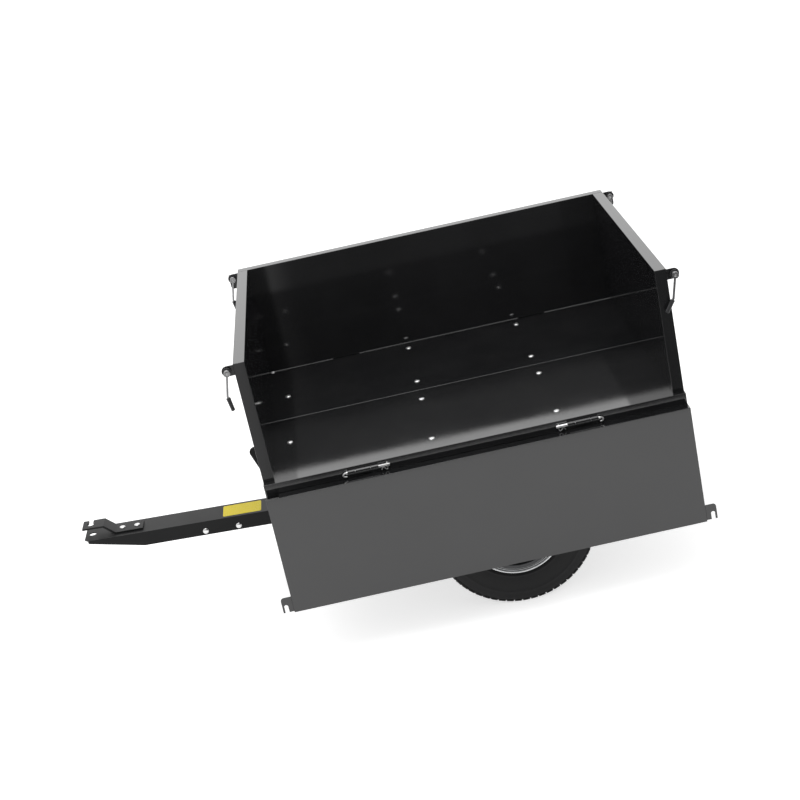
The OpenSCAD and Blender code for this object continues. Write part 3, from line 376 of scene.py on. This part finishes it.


# The edge colour in each look is both wear and a painted edge highlight
coatLook = {
    "dark": (0.009, 0.0092, 0.0098), "light": (0.0125, 0.0128, 0.0135), "rough": (0.045, 0.07), "ior": 1.72,
    "patchScale": 5.0, "grainScale": 850.0, "speck": 0.3, "bump": 0.03, "depth": 0.0004,
    "dust": 0.03, "dustColour": (0.30, 0.29, 0.27), "wearAndHighlight": 0.35, "wearAndHighlightRadius": 0.0012,
    "wearAndHighlightColour": (0.12, 0.12, 0.125),
}
# The drawbar's edges get more of the lighter edge colour: wear and a painted edge highlight
barLook = dict(coatLook, dark=(0.010, 0.0102, 0.0106), light=(0.0135, 0.0138, 0.0142), rough=(0.36, 0.44),
               ior=1.26, bump=0.08, wearAndHighlight=0.6)
rimLook = dict(coatLook, dark=(0.72, 0.73, 0.74), light=(0.80, 0.81, 0.82), rough=(0.22, 0.30), metal=0.6,
               patchScale=14.0, bump=0.04, dust=0.08, wearAndHighlightColour=(0.80, 0.80, 0.80), wearAndHighlight=0.2)
plasticLook = dict(coatLook, dark=(0.018, 0.018, 0.020), light=(0.024, 0.024, 0.026), rough=(0.42, 0.5),
                   ior=1.46, grainScale=1600.0, bump=0.2, depth=0.0002, dust=0.04,
                   wearAndHighlightColour=(0.07, 0.07, 0.07))
tyreLook = dict(coatLook, dark=(0.009, 0.009, 0.0095), light=(0.014, 0.014, 0.0145), rough=(0.5, 0.62),
                ior=1.33, patchScale=18.0, grainScale=1100.0, speck=0.5, bump=0.25, depth=0.0003,
                dust=0.07, wearAndHighlight=0.3, wearAndHighlightRadius=0.0015, dustColour=(0.16, 0.15, 0.14),
                wearAndHighlightColour=(0.05, 0.05, 0.05))
valveLook = dict(coatLook, dark=(0.015, 0.015, 0.015), light=(0.022, 0.022, 0.022), rough=(0.5, 0.6),
                 ior=1.45, dust=0.1, bump=0.15, wearAndHighlightColour=(0.05, 0.05, 0.05))
coat = coatMaterial("satinPowderCoat", coatLook)
barCoat = coatMaterial("mattPowderCoat", barLook)
rimPaint = coatMaterial("silverRimPaint", rimLook)
plastic = coatMaterial("mouldedPlastic", plasticLook)
tyreRubber = coatMaterial("tyreRubber", tyreLook)
valveRubber = coatMaterial("valveRubber", valveLook)
# Painted shade inside the rim's lip, with two painted highlight rings
paintShadeOnRim(rimPaint, {"axle": tuple((tubFrame @ axleSpot) * Vector((1, 0, 1))), "lip": 0.1164,
                    "rings": (0.1133, 0.1098), "ringShade": 0.45, "dark": (0.045, 0.046, 0.048)})
zincLook = {
    "dark": (0.66, 0.67, 0.70), "light": (0.80, 0.80, 0.79), "rough": (0.20, 0.32), "metal": 1.0,
    "brushScale": 900.0, "stretch": 0.1, "patchScale": 30.0, "bump": 0.06, "depth": 0.0002,
}
zinc = metalMaterial("zincPlate", zincLook)
# A lighter copy of the zinc plate, a painted highlight, for the bolt heads, hinge pins and clips
highlightZinc = metalMaterial("polishedZinc", dict(zincLook, dark=(0.78, 0.78, 0.79), light=(0.88, 0.88, 0.87),
                           rough=(0.24, 0.34)))
# A darker copy of the zinc plate, painted shade and painted dark reflection, for the latch pins and levers
shadedZinc = metalMaterial("dullZinc", dict(zincLook, dark=(0.42, 0.42, 0.43), light=(0.56, 0.56, 0.56),
                         rough=(0.28, 0.38)))
materialOf = {
    "black_powder_coat": coat, "zinc_plate": zinc, "black_plastic": plastic,
    "valve_rubber": valveRubber, "tyre_rubber": tyreRubber, "silver_rim_paint": rimPaint,
}
print("materials ready")


# Piece helpers
def newPiece(name, mesh, material):
    mesh.materials.clear()
    mesh.materials.append(material)
    for face in mesh.polygons:
        face.material_index = 0
        face.use_smooth = True
    piece = bpy.data.objects.new(name, mesh)
    scene.collection.objects.link(piece)
    return piece


def settle(piece, *nodes):
    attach(piece, bodyOf[nodes[0]])
    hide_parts(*nodes)


leastTurn = math.radians(30)                # edges that turn less than this stay as they are


def bevelEdges(piece, width, segments=2):
    bevel = piece.modifiers.new("edges", "BEVEL")
    bevel.width = width
    bevel.segments = segments
    bevel.limit_method = "ANGLE"
    bevel.angle_limit = leastTurn
    weighted = piece.modifiers.new("flatFaces", "WEIGHTED_NORMAL")
    weighted.weight = 60
    return bevel


def meshFrom(shape, name):
    bmesh.ops.remove_doubles(shape, verts=shape.verts, dist=1e-6)
    bmesh.ops.recalc_face_normals(shape, faces=shape.faces)
    mesh = bpy.data.meshes.new(name)
    shape.to_mesh(mesh)
    shape.free()
    return mesh


# A profile of (radius, height) pairs turned about +Z. With ring it closes on itself, otherwise it ends
# on the axis. radiusAt gives another radius for an angle, for the flats of a nut
def turnProfile(shape, profile, matrix, steps, ring=False, radiusAt=None):
    loops = []
    for radius, height in profile:
        if radius == 0:
            loops.append([shape.verts.new(matrix @ Vector((0, 0, height * mm)))] * steps)
            continue
        loop = []
        for i in range(steps):
            angle = 2 * math.pi * i / steps
            reach = radiusAt(radius, angle) if radiusAt else radius
            spot = Vector((reach * math.cos(angle), reach * math.sin(angle), height))
            loop.append(shape.verts.new(matrix @ (spot * mm)))
        loops.append(loop)
    pairs = list(zip(loops, loops[1:]))
    if ring:
        pairs.append((loops[-1], loops[0]))
    for low, high in pairs:
        for i in range(steps):
            k = (i + 1) % steps
            corners = []
            for vert in (low[i], low[k], high[k], high[i]):
                if vert not in corners:
                    corners.append(vert)
            if len(corners) > 2:
                shape.faces.new(corners)


# Sheet steel and machined parts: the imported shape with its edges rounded
sheetEdges = {"outer": 2.4 * mm, "inner": 0.5 * mm, "cut": 0.5 * mm}
edgeWidths = {"sheet": sheetEdges["outer"], "plate": 0.9 * mm, "small": 0.4 * mm}
cutBreadth = 3.2 * mm                       # a face narrower than this is a sheet's cut edge
tubCorners = ("near_front", "near_rear", "far_front", "far_rear")
# Latch pins and levers take the darker zinc copy, painted shade
shadedZincNodes = [part + corner for part in ("latch_pin_", "latch_lever_") for corner in tubCorners]
mattNodes = ("drawbar_front", "drawbar_rear", "hitch_strap", "latch_bracket", "release_handle")
edgeGroups = {
    "sheet": ["floor_near", "floor_far", "front_wall", "rear_wall", "near_panel", "far_panel"],
    "plate": ["drawbar_front", "drawbar_rear", "hitch_strap", "cross_rail_front", "cross_rail_rear",
              "axle_leg_near", "axle_leg_far", "front_stand", "release_handle", "pivot_tube", "axle"],
    "small": ["latch_ears", "latch_bracket", "handle_pivot_bolt", "latch_striker", "hinge_brackets",
              "latch_rings", "near_hinge_leaves", "far_hinge_leaves", "near_hooks", "far_hooks",
              "axle_washers", "hub_near", "hub_far", "bearings_near", "bearings_far", "valve_near",
              "valve_far", *shadedZincNodes],
}


def faceBreadth(face):
    return face.calc_area() / max(edge.calc_length() for edge in face.edges)


# Bends of a sheet turn wider on their outer side than the sheet's cut edges
def weighBends(shape, width):
    layer = shape.edges.layers.float.new("bevel_weight_edge")
    breadth = {face: faceBreadth(face) for face in shape.faces}
    for edge in shape.edges:
        if len(edge.link_faces) != 2 or edge.calc_face_angle() < leastTurn:
            continue
        if min(breadth[face] for face in edge.link_faces) < cutBreadth:
            size = sheetEdges["cut"]
        else:
            size = sheetEdges["outer"] if edge.is_convex else sheetEdges["inner"]
        edge[layer] = size / width


def finishOf(node):
    if node in shadedZincNodes:
        return shadedZinc
    return barCoat if node in mattNodes else materialOf[slotOf[node]]


# A sheet's faces are made convex first, because the bevel can close a face that goes round an open side
def roundedCopy(node, width):
    shape = bmesh.new()
    shape.from_mesh(frame["nodes"][node].data)
    bmesh.ops.remove_doubles(shape, verts=shape.verts, dist=1e-6)
    bmesh.ops.dissolve_limit(shape, angle_limit=math.radians(0.5), verts=shape.verts, edges=shape.edges)
    sheet = node in edgeGroups["sheet"]
    if sheet:
        weighBends(shape, width)
        bmesh.ops.connect_verts_concave(shape, faces=shape.faces)
    mesh = bpy.data.meshes.new(node + "_rounded")
    shape.to_mesh(mesh)
    shape.free()
    for leftover in ("custom_normal", "sharp_edge", "sharp_face"):
        if leftover in mesh.attributes:
            mesh.attributes.remove(mesh.attributes[leftover])
    piece = newPiece(node + "_rounded", mesh, finishOf(node))
    bevel = bevelEdges(piece, width)
    if sheet:
        bevel.limit_method = "WEIGHT"
        bevel.segments = 3
    settle(piece, node)


for groupName, nodeNames in edgeGroups.items():
    for nodeName in nodeNames:
        roundedCopy(nodeName, edgeWidths[groupName])
print("steel parts rounded")


# Geometry Nodes that repeat a shape: the first sets a fastener on every point, the second sets one pitch
# of tread round a wheel
def startTree(name, inputs):
    tree = bpy.data.node_groups.new(name, "GeometryNodeTree")
    for label, kind in inputs.items():
        tree.interface.new_socket(name=label, in_out="INPUT", socket_type="NodeSocket" + kind)
    tree.interface.new_socket(name="Geometry", in_out="OUTPUT", socket_type="NodeSocketGeometry")
    return tree, tree.nodes.new("NodeGroupInput").outputs


def finishTree(tree, placed, finish):
    real = addNode(tree, "GeometryNodeRealizeInstances", {"Geometry": placed}).outputs[0]
    done = addNode(tree, "GeometryNodeSetMaterial", {"Geometry": real, "Material": finish}).outputs[0]
    addNode(tree, "NodeGroupOutput", {"Geometry": done})
    return tree


def makeFastenerTree():
    tree, given = startTree("fastenersOnPoints", {"Geometry": "Geometry", "Fastener": "Object",
                            "Turn": "Vector", "Spin": "Float", "Seed": "Int", "Finish": "Material"})
    shape = addNode(tree, "GeometryNodeObjectInfo", {"Object": given["Fastener"]}).outputs["Geometry"]
    turn = addNode(tree, "FunctionNodeEulerToRotation", {"Euler": given["Turn"]}).outputs[0]
    placed = addNode(tree, "GeometryNodeInstanceOnPoints", {"Points": given["Geometry"], "Instance": shape,
                     "Rotation": turn}).outputs[0]
    chance = addNode(tree, "FunctionNodeRandomValue", {"Seed": given["Seed"]}, {"data_type": "FLOAT"})
    chance.inputs[2].default_value = -1.0
    angle = calc(tree, "MULTIPLY", chance.outputs[1], given["Spin"])
    twist = addNode(tree, "ShaderNodeCombineXYZ", {"Z": angle})
    spin = addNode(tree, "FunctionNodeEulerToRotation", {"Euler": twist.outputs[0]})
    turned = addNode(tree, "GeometryNodeRotateInstances", {"Instances": placed, "Rotation": spin.outputs[0],
                     "Local Space": True}).outputs[0]
    return finishTree(tree, turned, given["Finish"])


def makeRingTree():
    tree, given = startTree("blocksRoundWheel", {"Geometry": "Geometry", "Count": "Int",
                            "Centre": "Vector", "Start": "Float", "Finish": "Material"})
    points = addNode(tree, "GeometryNodePoints", {"Count": given["Count"], "Position": given["Centre"]})
    index = tree.nodes.new("GeometryNodeInputIndex").outputs[0]
    step = calc(tree, "DIVIDE", 2 * math.pi, given["Count"])
    angle = calc(tree, "ADD", calc(tree, "MULTIPLY", index, step), given["Start"])
    turn = addNode(tree, "ShaderNodeCombineXYZ", {"Y": angle}).outputs[0]
    rotation = addNode(tree, "FunctionNodeEulerToRotation", {"Euler": turn}).outputs[0]
    placed = addNode(tree, "GeometryNodeInstanceOnPoints", {"Points": points.outputs[0],
                     "Instance": given["Geometry"], "Rotation": rotation}).outputs[0]
    return finishTree(tree, placed, given["Finish"])


def runTree(tree, mesh, name, values):
    source = bpy.data.objects.new(name + "_source", mesh)
    scene.collection.objects.link(source)
    modifier = source.modifiers.new("repeat", "NODES")
    modifier.node_group = tree
    for item in tree.interface.items_tree:
        if item.item_type == "SOCKET" and item.in_out == "INPUT" and item.name in values:
            modifier[item.identifier] = values[item.name]
    depsgraph = bpy.context.evaluated_depsgraph_get()
    made = bpy.data.meshes.new_from_object(source.evaluated_get(depsgraph), depsgraph=depsgraph)
    bpy.data.objects.remove(source)
    made.name = name
    return made


fastenerTree = makeFastenerTree()
ringTree = makeRingTree()


# Bolts and nuts, in millimetres with the head's seat at height 0
threadSetup = {"pitch": 1.25, "root": 0.88, "end": 0.86}
domeAngles = (20, 40, 58, 72, 83)
headEdge = 0.12                             # straight part of a head's height
nutChamfer = {"bore": 0.5, "corner": 0.9, "face": 0.97}


def boltProfile(setup):
    radius, headRadius, headHeight = setup["radius"], setup["headRadius"], setup["headHeight"]
    length, pitch = setup["length"], threadSetup["pitch"]
    profile = [(0, headHeight)]
    for degrees in domeAngles:
        angle = math.radians(degrees)
        profile.append((headRadius * math.sin(angle),
                        headHeight * (headEdge + (1 - headEdge) * math.cos(angle))))
    profile += [(headRadius, headEdge * headHeight), (headRadius * 0.98, 0), (radius, 0)]
    height = -(length - setup["thread"])
    profile.append((radius, height))
    while height > -length + pitch:
        profile.append((radius * threadSetup["root"], height - pitch / 2))
        profile.append((radius, height - pitch))
        height -= pitch
    return profile + [(radius * threadSetup["end"], -length), (0, -length)]


def hexRadius(flat):
    def reach(radius, angle):
        if radius < flat * 0.9:
            return radius
        corner = flat / math.cos(angle % (math.pi / 3) - math.pi / 6)
        return min(radius, corner)
    return reach


def nutProfile(bore, corner, height):
    face = corner * math.cos(math.pi / 6) * nutChamfer["face"]
    lead, cut = nutChamfer["bore"], nutChamfer["corner"]
    return [(bore, lead), (bore + lead, 0), (face, 0), (corner, cut), (corner, height - cut),
            (face, height), (bore + lead, height), (bore, height - lead)]


def fastenerObject(name, build):
    shape = bmesh.new()
    build(shape)
    return bpy.data.objects.new(name, meshFrom(shape, name))


def makeBolt(setup):
    def build(shape):
        turnProfile(shape, boltProfile(setup), Matrix.Identity(4), 28)
    return fastenerObject("boltShape", build)


def makeNut(setup):
    flat = setup["nutRadius"] * math.cos(math.pi / 6)
    lower = Matrix.Translation((0, 0, -(setup["grip"] + setup["nutHeight"]) * mm))

    def build(shape):
        turnProfile(shape, nutProfile(setup["radius"] + 0.05, setup["nutRadius"], setup["nutHeight"]),
                    lower, 36, ring=True, radiusAt=hexRadius(flat))
    return fastenerObject("nutShape", build)


def joinShapes(name, first, second):
    shape = bmesh.new()
    shape.from_mesh(first.data)
    shape.from_mesh(second.data)
    return bpy.data.objects.new(name, meshFrom(shape, name))


def setFasteners(name, node, shapeObject, places, turn, finish, spin=0.0, seed=0):
    points = bpy.data.meshes.new(name + "_points")
    points.from_pydata(places, [], [])
    mesh = runTree(fastenerTree, points, name, {"Fastener": shapeObject, "Turn": turn, "Spin": spin,
                                                "Seed": seed, "Finish": finish})
    piece = newPiece(name, mesh, finish)
    mesh.set_sharp_from_angle(angle=math.radians(38))
    settle(piece, node)


def spots(matrix, triples):
    return [matrix @ (Vector(triple) * mm) for triple in triples]


mainBolt = {"radius": 4.0, "headRadius": 8.0, "headHeight": 3.5, "nutRadius": 7.5, "nutHeight": 6.5}
railBolt = dict(mainBolt, grip=40, length=49.5, thread=22)
standBolt = dict(mainBolt, grip=6, length=15.5, thread=12)
hitchBolt = dict(mainBolt, grip=8, length=17.5, thread=13)
crossBolt = dict(mainBolt, grip=85, length=94.5, thread=24)
legBolt = dict(mainBolt, grip=8, length=15.5, thread=12)
wallBolt = {"radius": 3.0, "headRadius": 6.0, "headHeight": 3.0, "nutRadius": 6.0, "nutHeight": 5.0,
            "grip": 4, "length": 10, "thread": 8}
railSpots = [(x, y, 0) for x in tub["rails"] for y in tub["railBolts"]]
standSpots = [(tub["standX"], y, 0) for y in tub["standBolts"]]
wallSpots = [(x, y, tub["wallFoot"]) for x in (tub["wallInset"], tub["length"] - tub["wallInset"])
             for y in tub["wallBolts"]]
legSpots = [(x, y, tub["legFoot"]) for x in tub["rails"] for y in tub["legBolts"]]
crossSpots = [(x, -bar["half"], bar["crossZ"]) for x in bar["crossBolts"]]
strapSpots = [(x, 0, bar["strapTop"]) for x in bar["strapBolts"]]
upright = (0.0, 0.0, 0.0)
sloped = (0.0, rise, 0.0)
sideways = tuple((Matrix.Rotation(rise, 4, "Y") @ Matrix.Rotation(math.radians(90), 4, "X")).to_euler())

for title, setup, where in (("rail", railBolt, railSpots), ("stand", standBolt, standSpots)):
    places = spots(tubFrame, where)
    setFasteners("floor_bolts_" + title, "floor_bolts", makeBolt(setup), places, upright, highlightZinc)
    setFasteners("floor_nuts_" + title, "floor_nuts", makeNut(setup), places, upright, zinc, 0.5, 7)
for title, setup, where, turn in (("hitch", hitchBolt, strapSpots, sloped),
                                  ("drawbar", crossBolt, crossSpots, sideways)):
    places = spots(barFrame, where)
    setFasteners(title + "_bolts_domed", title + "_bolts", makeBolt(setup), places, turn, highlightZinc)
    setFasteners(title + "_nuts_hex", "drawbar_nuts", makeNut(setup), places, turn, zinc, 0.5, 5)
for title, setup, where in (("leg_bolts", legBolt, legSpots), ("wall_bolts", wallBolt, wallSpots)):
    pair = joinShapes("boltAndNut", makeBolt(setup), makeNut(setup))
    setFasteners(title + "_set", title, pair, spots(tubFrame, where), upright, zinc, 0.4, 11)
print("fasteners set")


# Wheels, drawn in millimetres about their axle with the outer side up
wheelSetup = {
    "centreY": 315.6, "pitches": 60, "lugTop": 203.9, "treadBase": 202.2,
    "tyreOuter": [(101.5, 34.9), (101.5, 46.2), (103, 46.6), (117, 46.5), (120.5, 47.2), (122.8, 48.6),
                  (124.5, 50.2), (127, 51.2), (128, 52.4), (130.5, 52.9), (132, 52.4), (134, 52.8),
                  (142, 54.3), (152, 55.3), (162, 55.8), (170, 55.5), (171, 56.0), (174, 55.9),
                  (175, 55.1), (183, 54.6), (191, 53.2), (196.5, 50.6), (200.2, 46.2), (201.9, 38),
                  (202.4, 18)],
    "tyreInner": [(101.5, 34.9), (111.3, 37.7), (124.5, 42), (163.25, 47), (183, 43), (192, 32)],
    "rimOuter": [(101.2, 0), (101.2, 46.0), (103, 47.1), (114.5, 47.9), (118.5, 49.2), (120.7, 50.6),
                 (121, 51.3), (120.4, 51.85), (119, 52), (117.5, 51.6), (116.4, 50.6), (114.6, 50.1),
                 (110.5, 50.0), (109.4, 49.2), (104.6, 49.1), (103.6, 49.8), (100.6, 49.9), (98.9, 49.1),
                 (98, 47.4), (98, 38), (96.6, 36.8), (96.6, 30), (95.8, 29), (95.8, 21)],
    "disc": [(95.2, 17.2), (93, 15), (68, 15), (62, 17.6), (34, 17.6), (28, 15), (18.1, 15),
             (18.1, 12), (27, 12), (33, 14.6), (63, 14.6), (69, 12), (95, 12), (98, 9.5)],
}


def wheelCentre(side):
    return tubFrame @ (axleSpot + Vector((0, side * wheelSetup["centreY"] * mm, 0)))


def wheelMatrix(side):
    stand = Matrix(((1, 0, 0, 0), (0, 0, side, 0), (0, 1, 0, 0), (0, 0, 0, 1)))
    return Matrix.Translation(wheelCentre(side)) @ stand


def makeTyreBody(side):
    outer = wheelSetup["tyreOuter"]
    inner = wheelSetup["tyreInner"]
    profile = [*outer, (202.5, 0), *[(r, -h) for r, h in reversed(outer)],
               *[(r, -h) for r, h in inner[1:]], *[(r, h) for r, h in reversed(inner[1:])]]
    shape = bmesh.new()
    turnProfile(shape, profile, wheelMatrix(side), 120, ring=True)
    return meshFrom(shape, "tyreBody")


# Two equal rows of corners made into a closed block
def closeBlock(shape, low, high):
    shape.faces.new(high)
    shape.faces.new(list(reversed(low)))
    for i in range(len(low)):
        k = (i + 1) % len(low)
        shape.faces.new((low[i], low[k], high[k], high[i]))


# One block of tread: corners on the base and on the top, as (angle in degrees, distance from the middle)
def addBlock(shape, base, top, low, high):
    rows = []
    for corners, radius in ((base, low), (top, high)):
        row = []
        for degrees, across in corners:
            angle = math.radians(degrees)
            spot = Vector((radius * math.sin(angle), across, radius * math.cos(angle)))
            row.append(shape.verts.new(spot * mm))
        rows.append(row)
    closeBlock(shape, *rows)


def shrink(corners, amount):
    middle = [sum(c[i] for c in corners) / len(corners) for i in (0, 1)]
    return [tuple(m + (c - m) * amount for c, m in zip(corner, middle)) for corner in corners]


# One pitch of tread on each side of the middle; a corner is (share of the pitch, distance from the middle)
def makeLugs():
    shape = bmesh.new()
    pitch = 360 / wheelSetup["pitches"]
    low, high = wheelSetup["treadBase"] - 3, wheelSetup["lugTop"]
    shoulder = [(-0.43, 24), (0.37, 26), (0.39, 46.5), (-0.41, 46.5)]
    foot = [(-0.45, 23), (0.39, 25), (0.43, 50.5), (-0.45, 50.5)]
    middle = [(-0.46, 2), (0.20, 1.5), (0.42, 20.5), (-0.24, 21.5)]
    for side, shift in ((1, 0.0), (-1, 0.5)):
        for corners, ground, top in ((shoulder, foot, high), (middle, None, high - 0.4)):
            upper = [((a + shift) * pitch, side * y) for a, y in corners]
            lower = [((a + shift) * pitch, side * y) for a, y in ground] if ground else shrink(upper, 1.12)
            addBlock(shape, lower, upper, low, top)
    return meshFrom(shape, "treadPitch")


def makeTyre(side, word):
    body = makeTyreBody(side)
    lugs = runTree(ringTree, makeLugs(), "lugs_" + word, {"Count": wheelSetup["pitches"],
                   "Centre": tuple(wheelCentre(side)), "Start": 0.02 * side, "Finish": tyreRubber})
    shape = bmesh.new()
    shape.from_mesh(body)
    shape.from_mesh(lugs)
    mesh = bpy.data.meshes.new("tyre_" + word + "_treaded")
    shape.to_mesh(mesh)
    shape.free()
    piece = newPiece(mesh.name, mesh, tyreRubber)
    mesh.set_sharp_from_angle(angle=math.radians(40))
    settle(piece, "tyre_" + word)


def makeRim(side, word):
    outer = wheelSetup["rimOuter"]
    profile = [*outer, *wheelSetup["disc"], *[(r, -h) for r, h in reversed(outer[1:-5])]]
    shape = bmesh.new()
    turnProfile(shape, profile, wheelMatrix(side), 120, ring=True)
    piece = newPiece("rim_" + word + "_turned", meshFrom(shape, "rim_" + word + "_turned"), rimPaint)
    piece.data.set_sharp_from_angle(angle=math.radians(50))
    settle(piece, "rim_" + word)


for wheelSide, wheelWord in ((-1, "near"), (1, "far")):
    makeTyre(wheelSide, wheelWord)
    makeRim(wheelSide, wheelWord)
print("wheels made")


# Grips of the corner latches
gripSetup = {
    "leverLength": 58, "flipDepth": 7,
    "profile": [(0, -4), (4.4, -4), (5.2, -4.4), (5.5, -5.4), (5.5, -8), (5.0, -8.9), (5.4, -10),
                (5.0, -11.1), (5.3, -12.2), (4.9, -13.3), (5.1, -16), (4.9, -25), (4.7, -31), (4.9, -34),
                (4.8, -36.2), (4.1, -37.6), (2.6, -38), (0, -38)],
}
nearHeadY, farHeadY = -392.1, 378.4
frontX, rearX = -tub["latchOut"], tub["length"] + tub["latchOut"]
# Each latch, as tubCorners lists them: place along and across, tilt of the lever and bend of its end
latches = ((frontX, nearHeadY, 12, -20), (rearX, nearHeadY, 12, 20), (frontX, farHeadY, 12, -20),
           (rearX, farHeadY, -4, 20))


def makeGrip(corner, x, y, tilt, bend):
    head = tubFrame @ Matrix.Translation(Vector((x, y, tub["latchZ"])) * mm)
    head = head @ Matrix.Rotation(math.radians(tilt), 4, "Y")
    elbow = Matrix.Translation(Vector((0, -gripSetup["flipDepth"], -gripSetup["leverLength"])) * mm)
    matrix = head @ elbow @ Matrix.Rotation(math.radians(bend), 4, "Y")
    shape = bmesh.new()
    turnProfile(shape, gripSetup["profile"], matrix, 28)
    name = "latch_grip_" + corner + "_moulded"
    settle(newPiece(name, meshFrom(shape, name), plastic), "latch_grip_" + corner)


for cornerName, cornerPlace in zip(tubCorners, latches):
    makeGrip(cornerName, *cornerPlace)
print("grips made")


# Wire forms: hooked ends and spring clips of the hinge pins, and split pins of the axle. A path is a row
# of (along, height) pairs about its pin's middle
def wireMesh(name, paths, radius):
    data = bpy.data.curves.new(name + "_wire", "CURVE")
    data.dimensions = "3D"
    data.bevel_depth = radius
    data.bevel_resolution = 3
    data.resolution_u = 6
    data.use_fill_caps = True
    for path in paths:
        spline = data.splines.new("BEZIER")
        spline.bezier_points.add(len(path) - 1)
        for point, place in zip(spline.bezier_points, path):
            point.co = place
            point.handle_left_type = point.handle_right_type = "AUTO"
    wire = bpy.data.objects.new(name + "_wire", data)
    scene.collection.objects.link(wire)
    depsgraph = bpy.context.evaluated_depsgraph_get()
    mesh = bpy.data.meshes.new_from_object(wire.evaluated_get(depsgraph), depsgraph=depsgraph)
    bpy.data.objects.remove(wire)
    shape = bmesh.new()
    shape.from_mesh(mesh)
    return meshFrom(shape, name)


clipPath = [(60.5, 7), (60.5, 0), (60.5, -8), (59.4, -11.2), (56.4, -11.4), (54, -9.4), (49.5, -5.2),
            (46.6, -7.2), (44.6, -11)]
hookPath = [(-40, 0), (-43.5, 0.8), (-47.5, -0.8), (-50, -4.8), (-47.8, -8), (-41, -9.2)]
rodProfile = [(0, -42.5), (3.2, -42.5), (4, -41.6), (4, 65.4), (3.2, 66.5), (0, 66.5)]
hingeSpots = [(x, side * tub["hingeY"], tub["hingeZ"]) for side in (-1, 1) for x in tub["hinges"]]


# The free ends of the hinge pins point to the middle of the tub
def hingeWay(x):
    return -1 if x > tub["length"] / 2 else 1


def alongHinge(path):
    paths = []
    for x, y, z in hingeSpots:
        paths.append([tubFrame @ (Vector((x + hingeWay(x) * a, y, z + c)) * mm) for a, c in path])
    return paths


def makeHingePins():
    shape = bmesh.new()
    for x, y, z in hingeSpots:
        quarter = math.radians(90 * hingeWay(x))
        place = tubFrame @ Matrix.Translation(Vector((x, y, z)) * mm) @ Matrix.Rotation(quarter, 4, "Y")
        turnProfile(shape, rodProfile, place, 24)
    shape.from_mesh(wireMesh("hookEnds", alongHinge(hookPath), 2.1 * mm))
    piece = newPiece("hinge_pins_hooked", meshFrom(shape, "hinge_pins_hooked"), highlightZinc)
    piece.data.set_sharp_from_angle(angle=math.radians(40))
    settle(piece, "hinge_pins")


def makeClips():
    mesh = wireMesh("hinge_clips_sprung", alongHinge(clipPath), 1.2 * mm)
    settle(newPiece(mesh.name, mesh, highlightZinc), "hinge_clips")


splitPath = [(1.1, -18.5), (0.9, -12), (0.9, 8), (1.4, 12), (5, 15.5), (5, 20), (0, 23.5), (-5, 20),
             (-5, 15.5), (-1.4, 12), (-0.9, 8), (-0.9, -12), (-2.6, -18)]
splitY = 386.1                              # from the cart's middle to a split pin


def makeSplitPins():
    paths = []
    for side in (-1, 1):
        paths.append([tubFrame @ (axleSpot + Vector((a, side * splitY, c)) * mm) for a, c in splitPath])
    mesh = wireMesh("cotter_pins_split", paths, 0.95 * mm)
    settle(newPiece(mesh.name, mesh, zinc), "cotter_pins")


makeHingePins()
makeClips()
makeSplitPins()
print("wire forms made")


# Plain reflective strip on top of the drawbar
stripSetup = {
    "from": -748.0, "to": -644.0, "half": 33.0, "top": 20.0, "thick": 0.3, "corner": 5.0,
    "colour": (0.84, 0.68, 0.005), "dark": (0.74, 0.58, 0.004),
}


def makeStripMaterial(setup):
    material, tree, shader = startMaterial("yellowReflector", {"ior": 1.25})
    spot = objectSpot(tree)
    cells = addNode(tree, "ShaderNodeTexVoronoi", {"Vector": spot, "Scale": 260.0},
                    {"feature": "DISTANCE_TO_EDGE"})
    ribs = remap(tree, cells.outputs["Distance"], 0.0, 0.12, 0.0, 1.0)
    colour = mixColour(tree, ribs, setup["dark"], setup["colour"])
    dust = useGroup(tree, dustGroup, {"Amount": 0.12})["Mask"]
    colour = mixColour(tree, dust, colour, (0.35, 0.33, 0.28))
    rough = remap(tree, ribs, 0.0, 1.0, 0.45, 0.25)
    finishMaterial(tree, shader, colour, rough, ribs, {"bump": 0.15, "depth": 0.0002})
    return material


def makeStrip(setup):
    corner = setup["corner"]
    front, rear, side = setup["from"] + corner, setup["to"] - corner, setup["half"] - corner
    outline = []
    for start, x, y in ((0, rear, side), (90, front, side), (180, front, -side), (270, rear, -side)):
        for step in range(7):
            angle = math.radians(start + step * 15)
            outline.append((x + corner * math.cos(angle), y + corner * math.sin(angle)))
    shape = bmesh.new()
    rows = []
    for height in (setup["top"] + 0.02, setup["top"] + setup["thick"]):
        rows.append([shape.verts.new(barFrame @ (Vector((x, y, height)) * mm)) for x, y in outline])
    closeBlock(shape, *rows)
    piece = newPiece("drawbar_reflector", meshFrom(shape, "drawbar_reflector"), makeStripMaterial(setup))
    bevelEdges(piece, 0.1 * mm, 1)
    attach(piece, "drawbar")


makeStrip(stripSetup)
print("reflector laid")
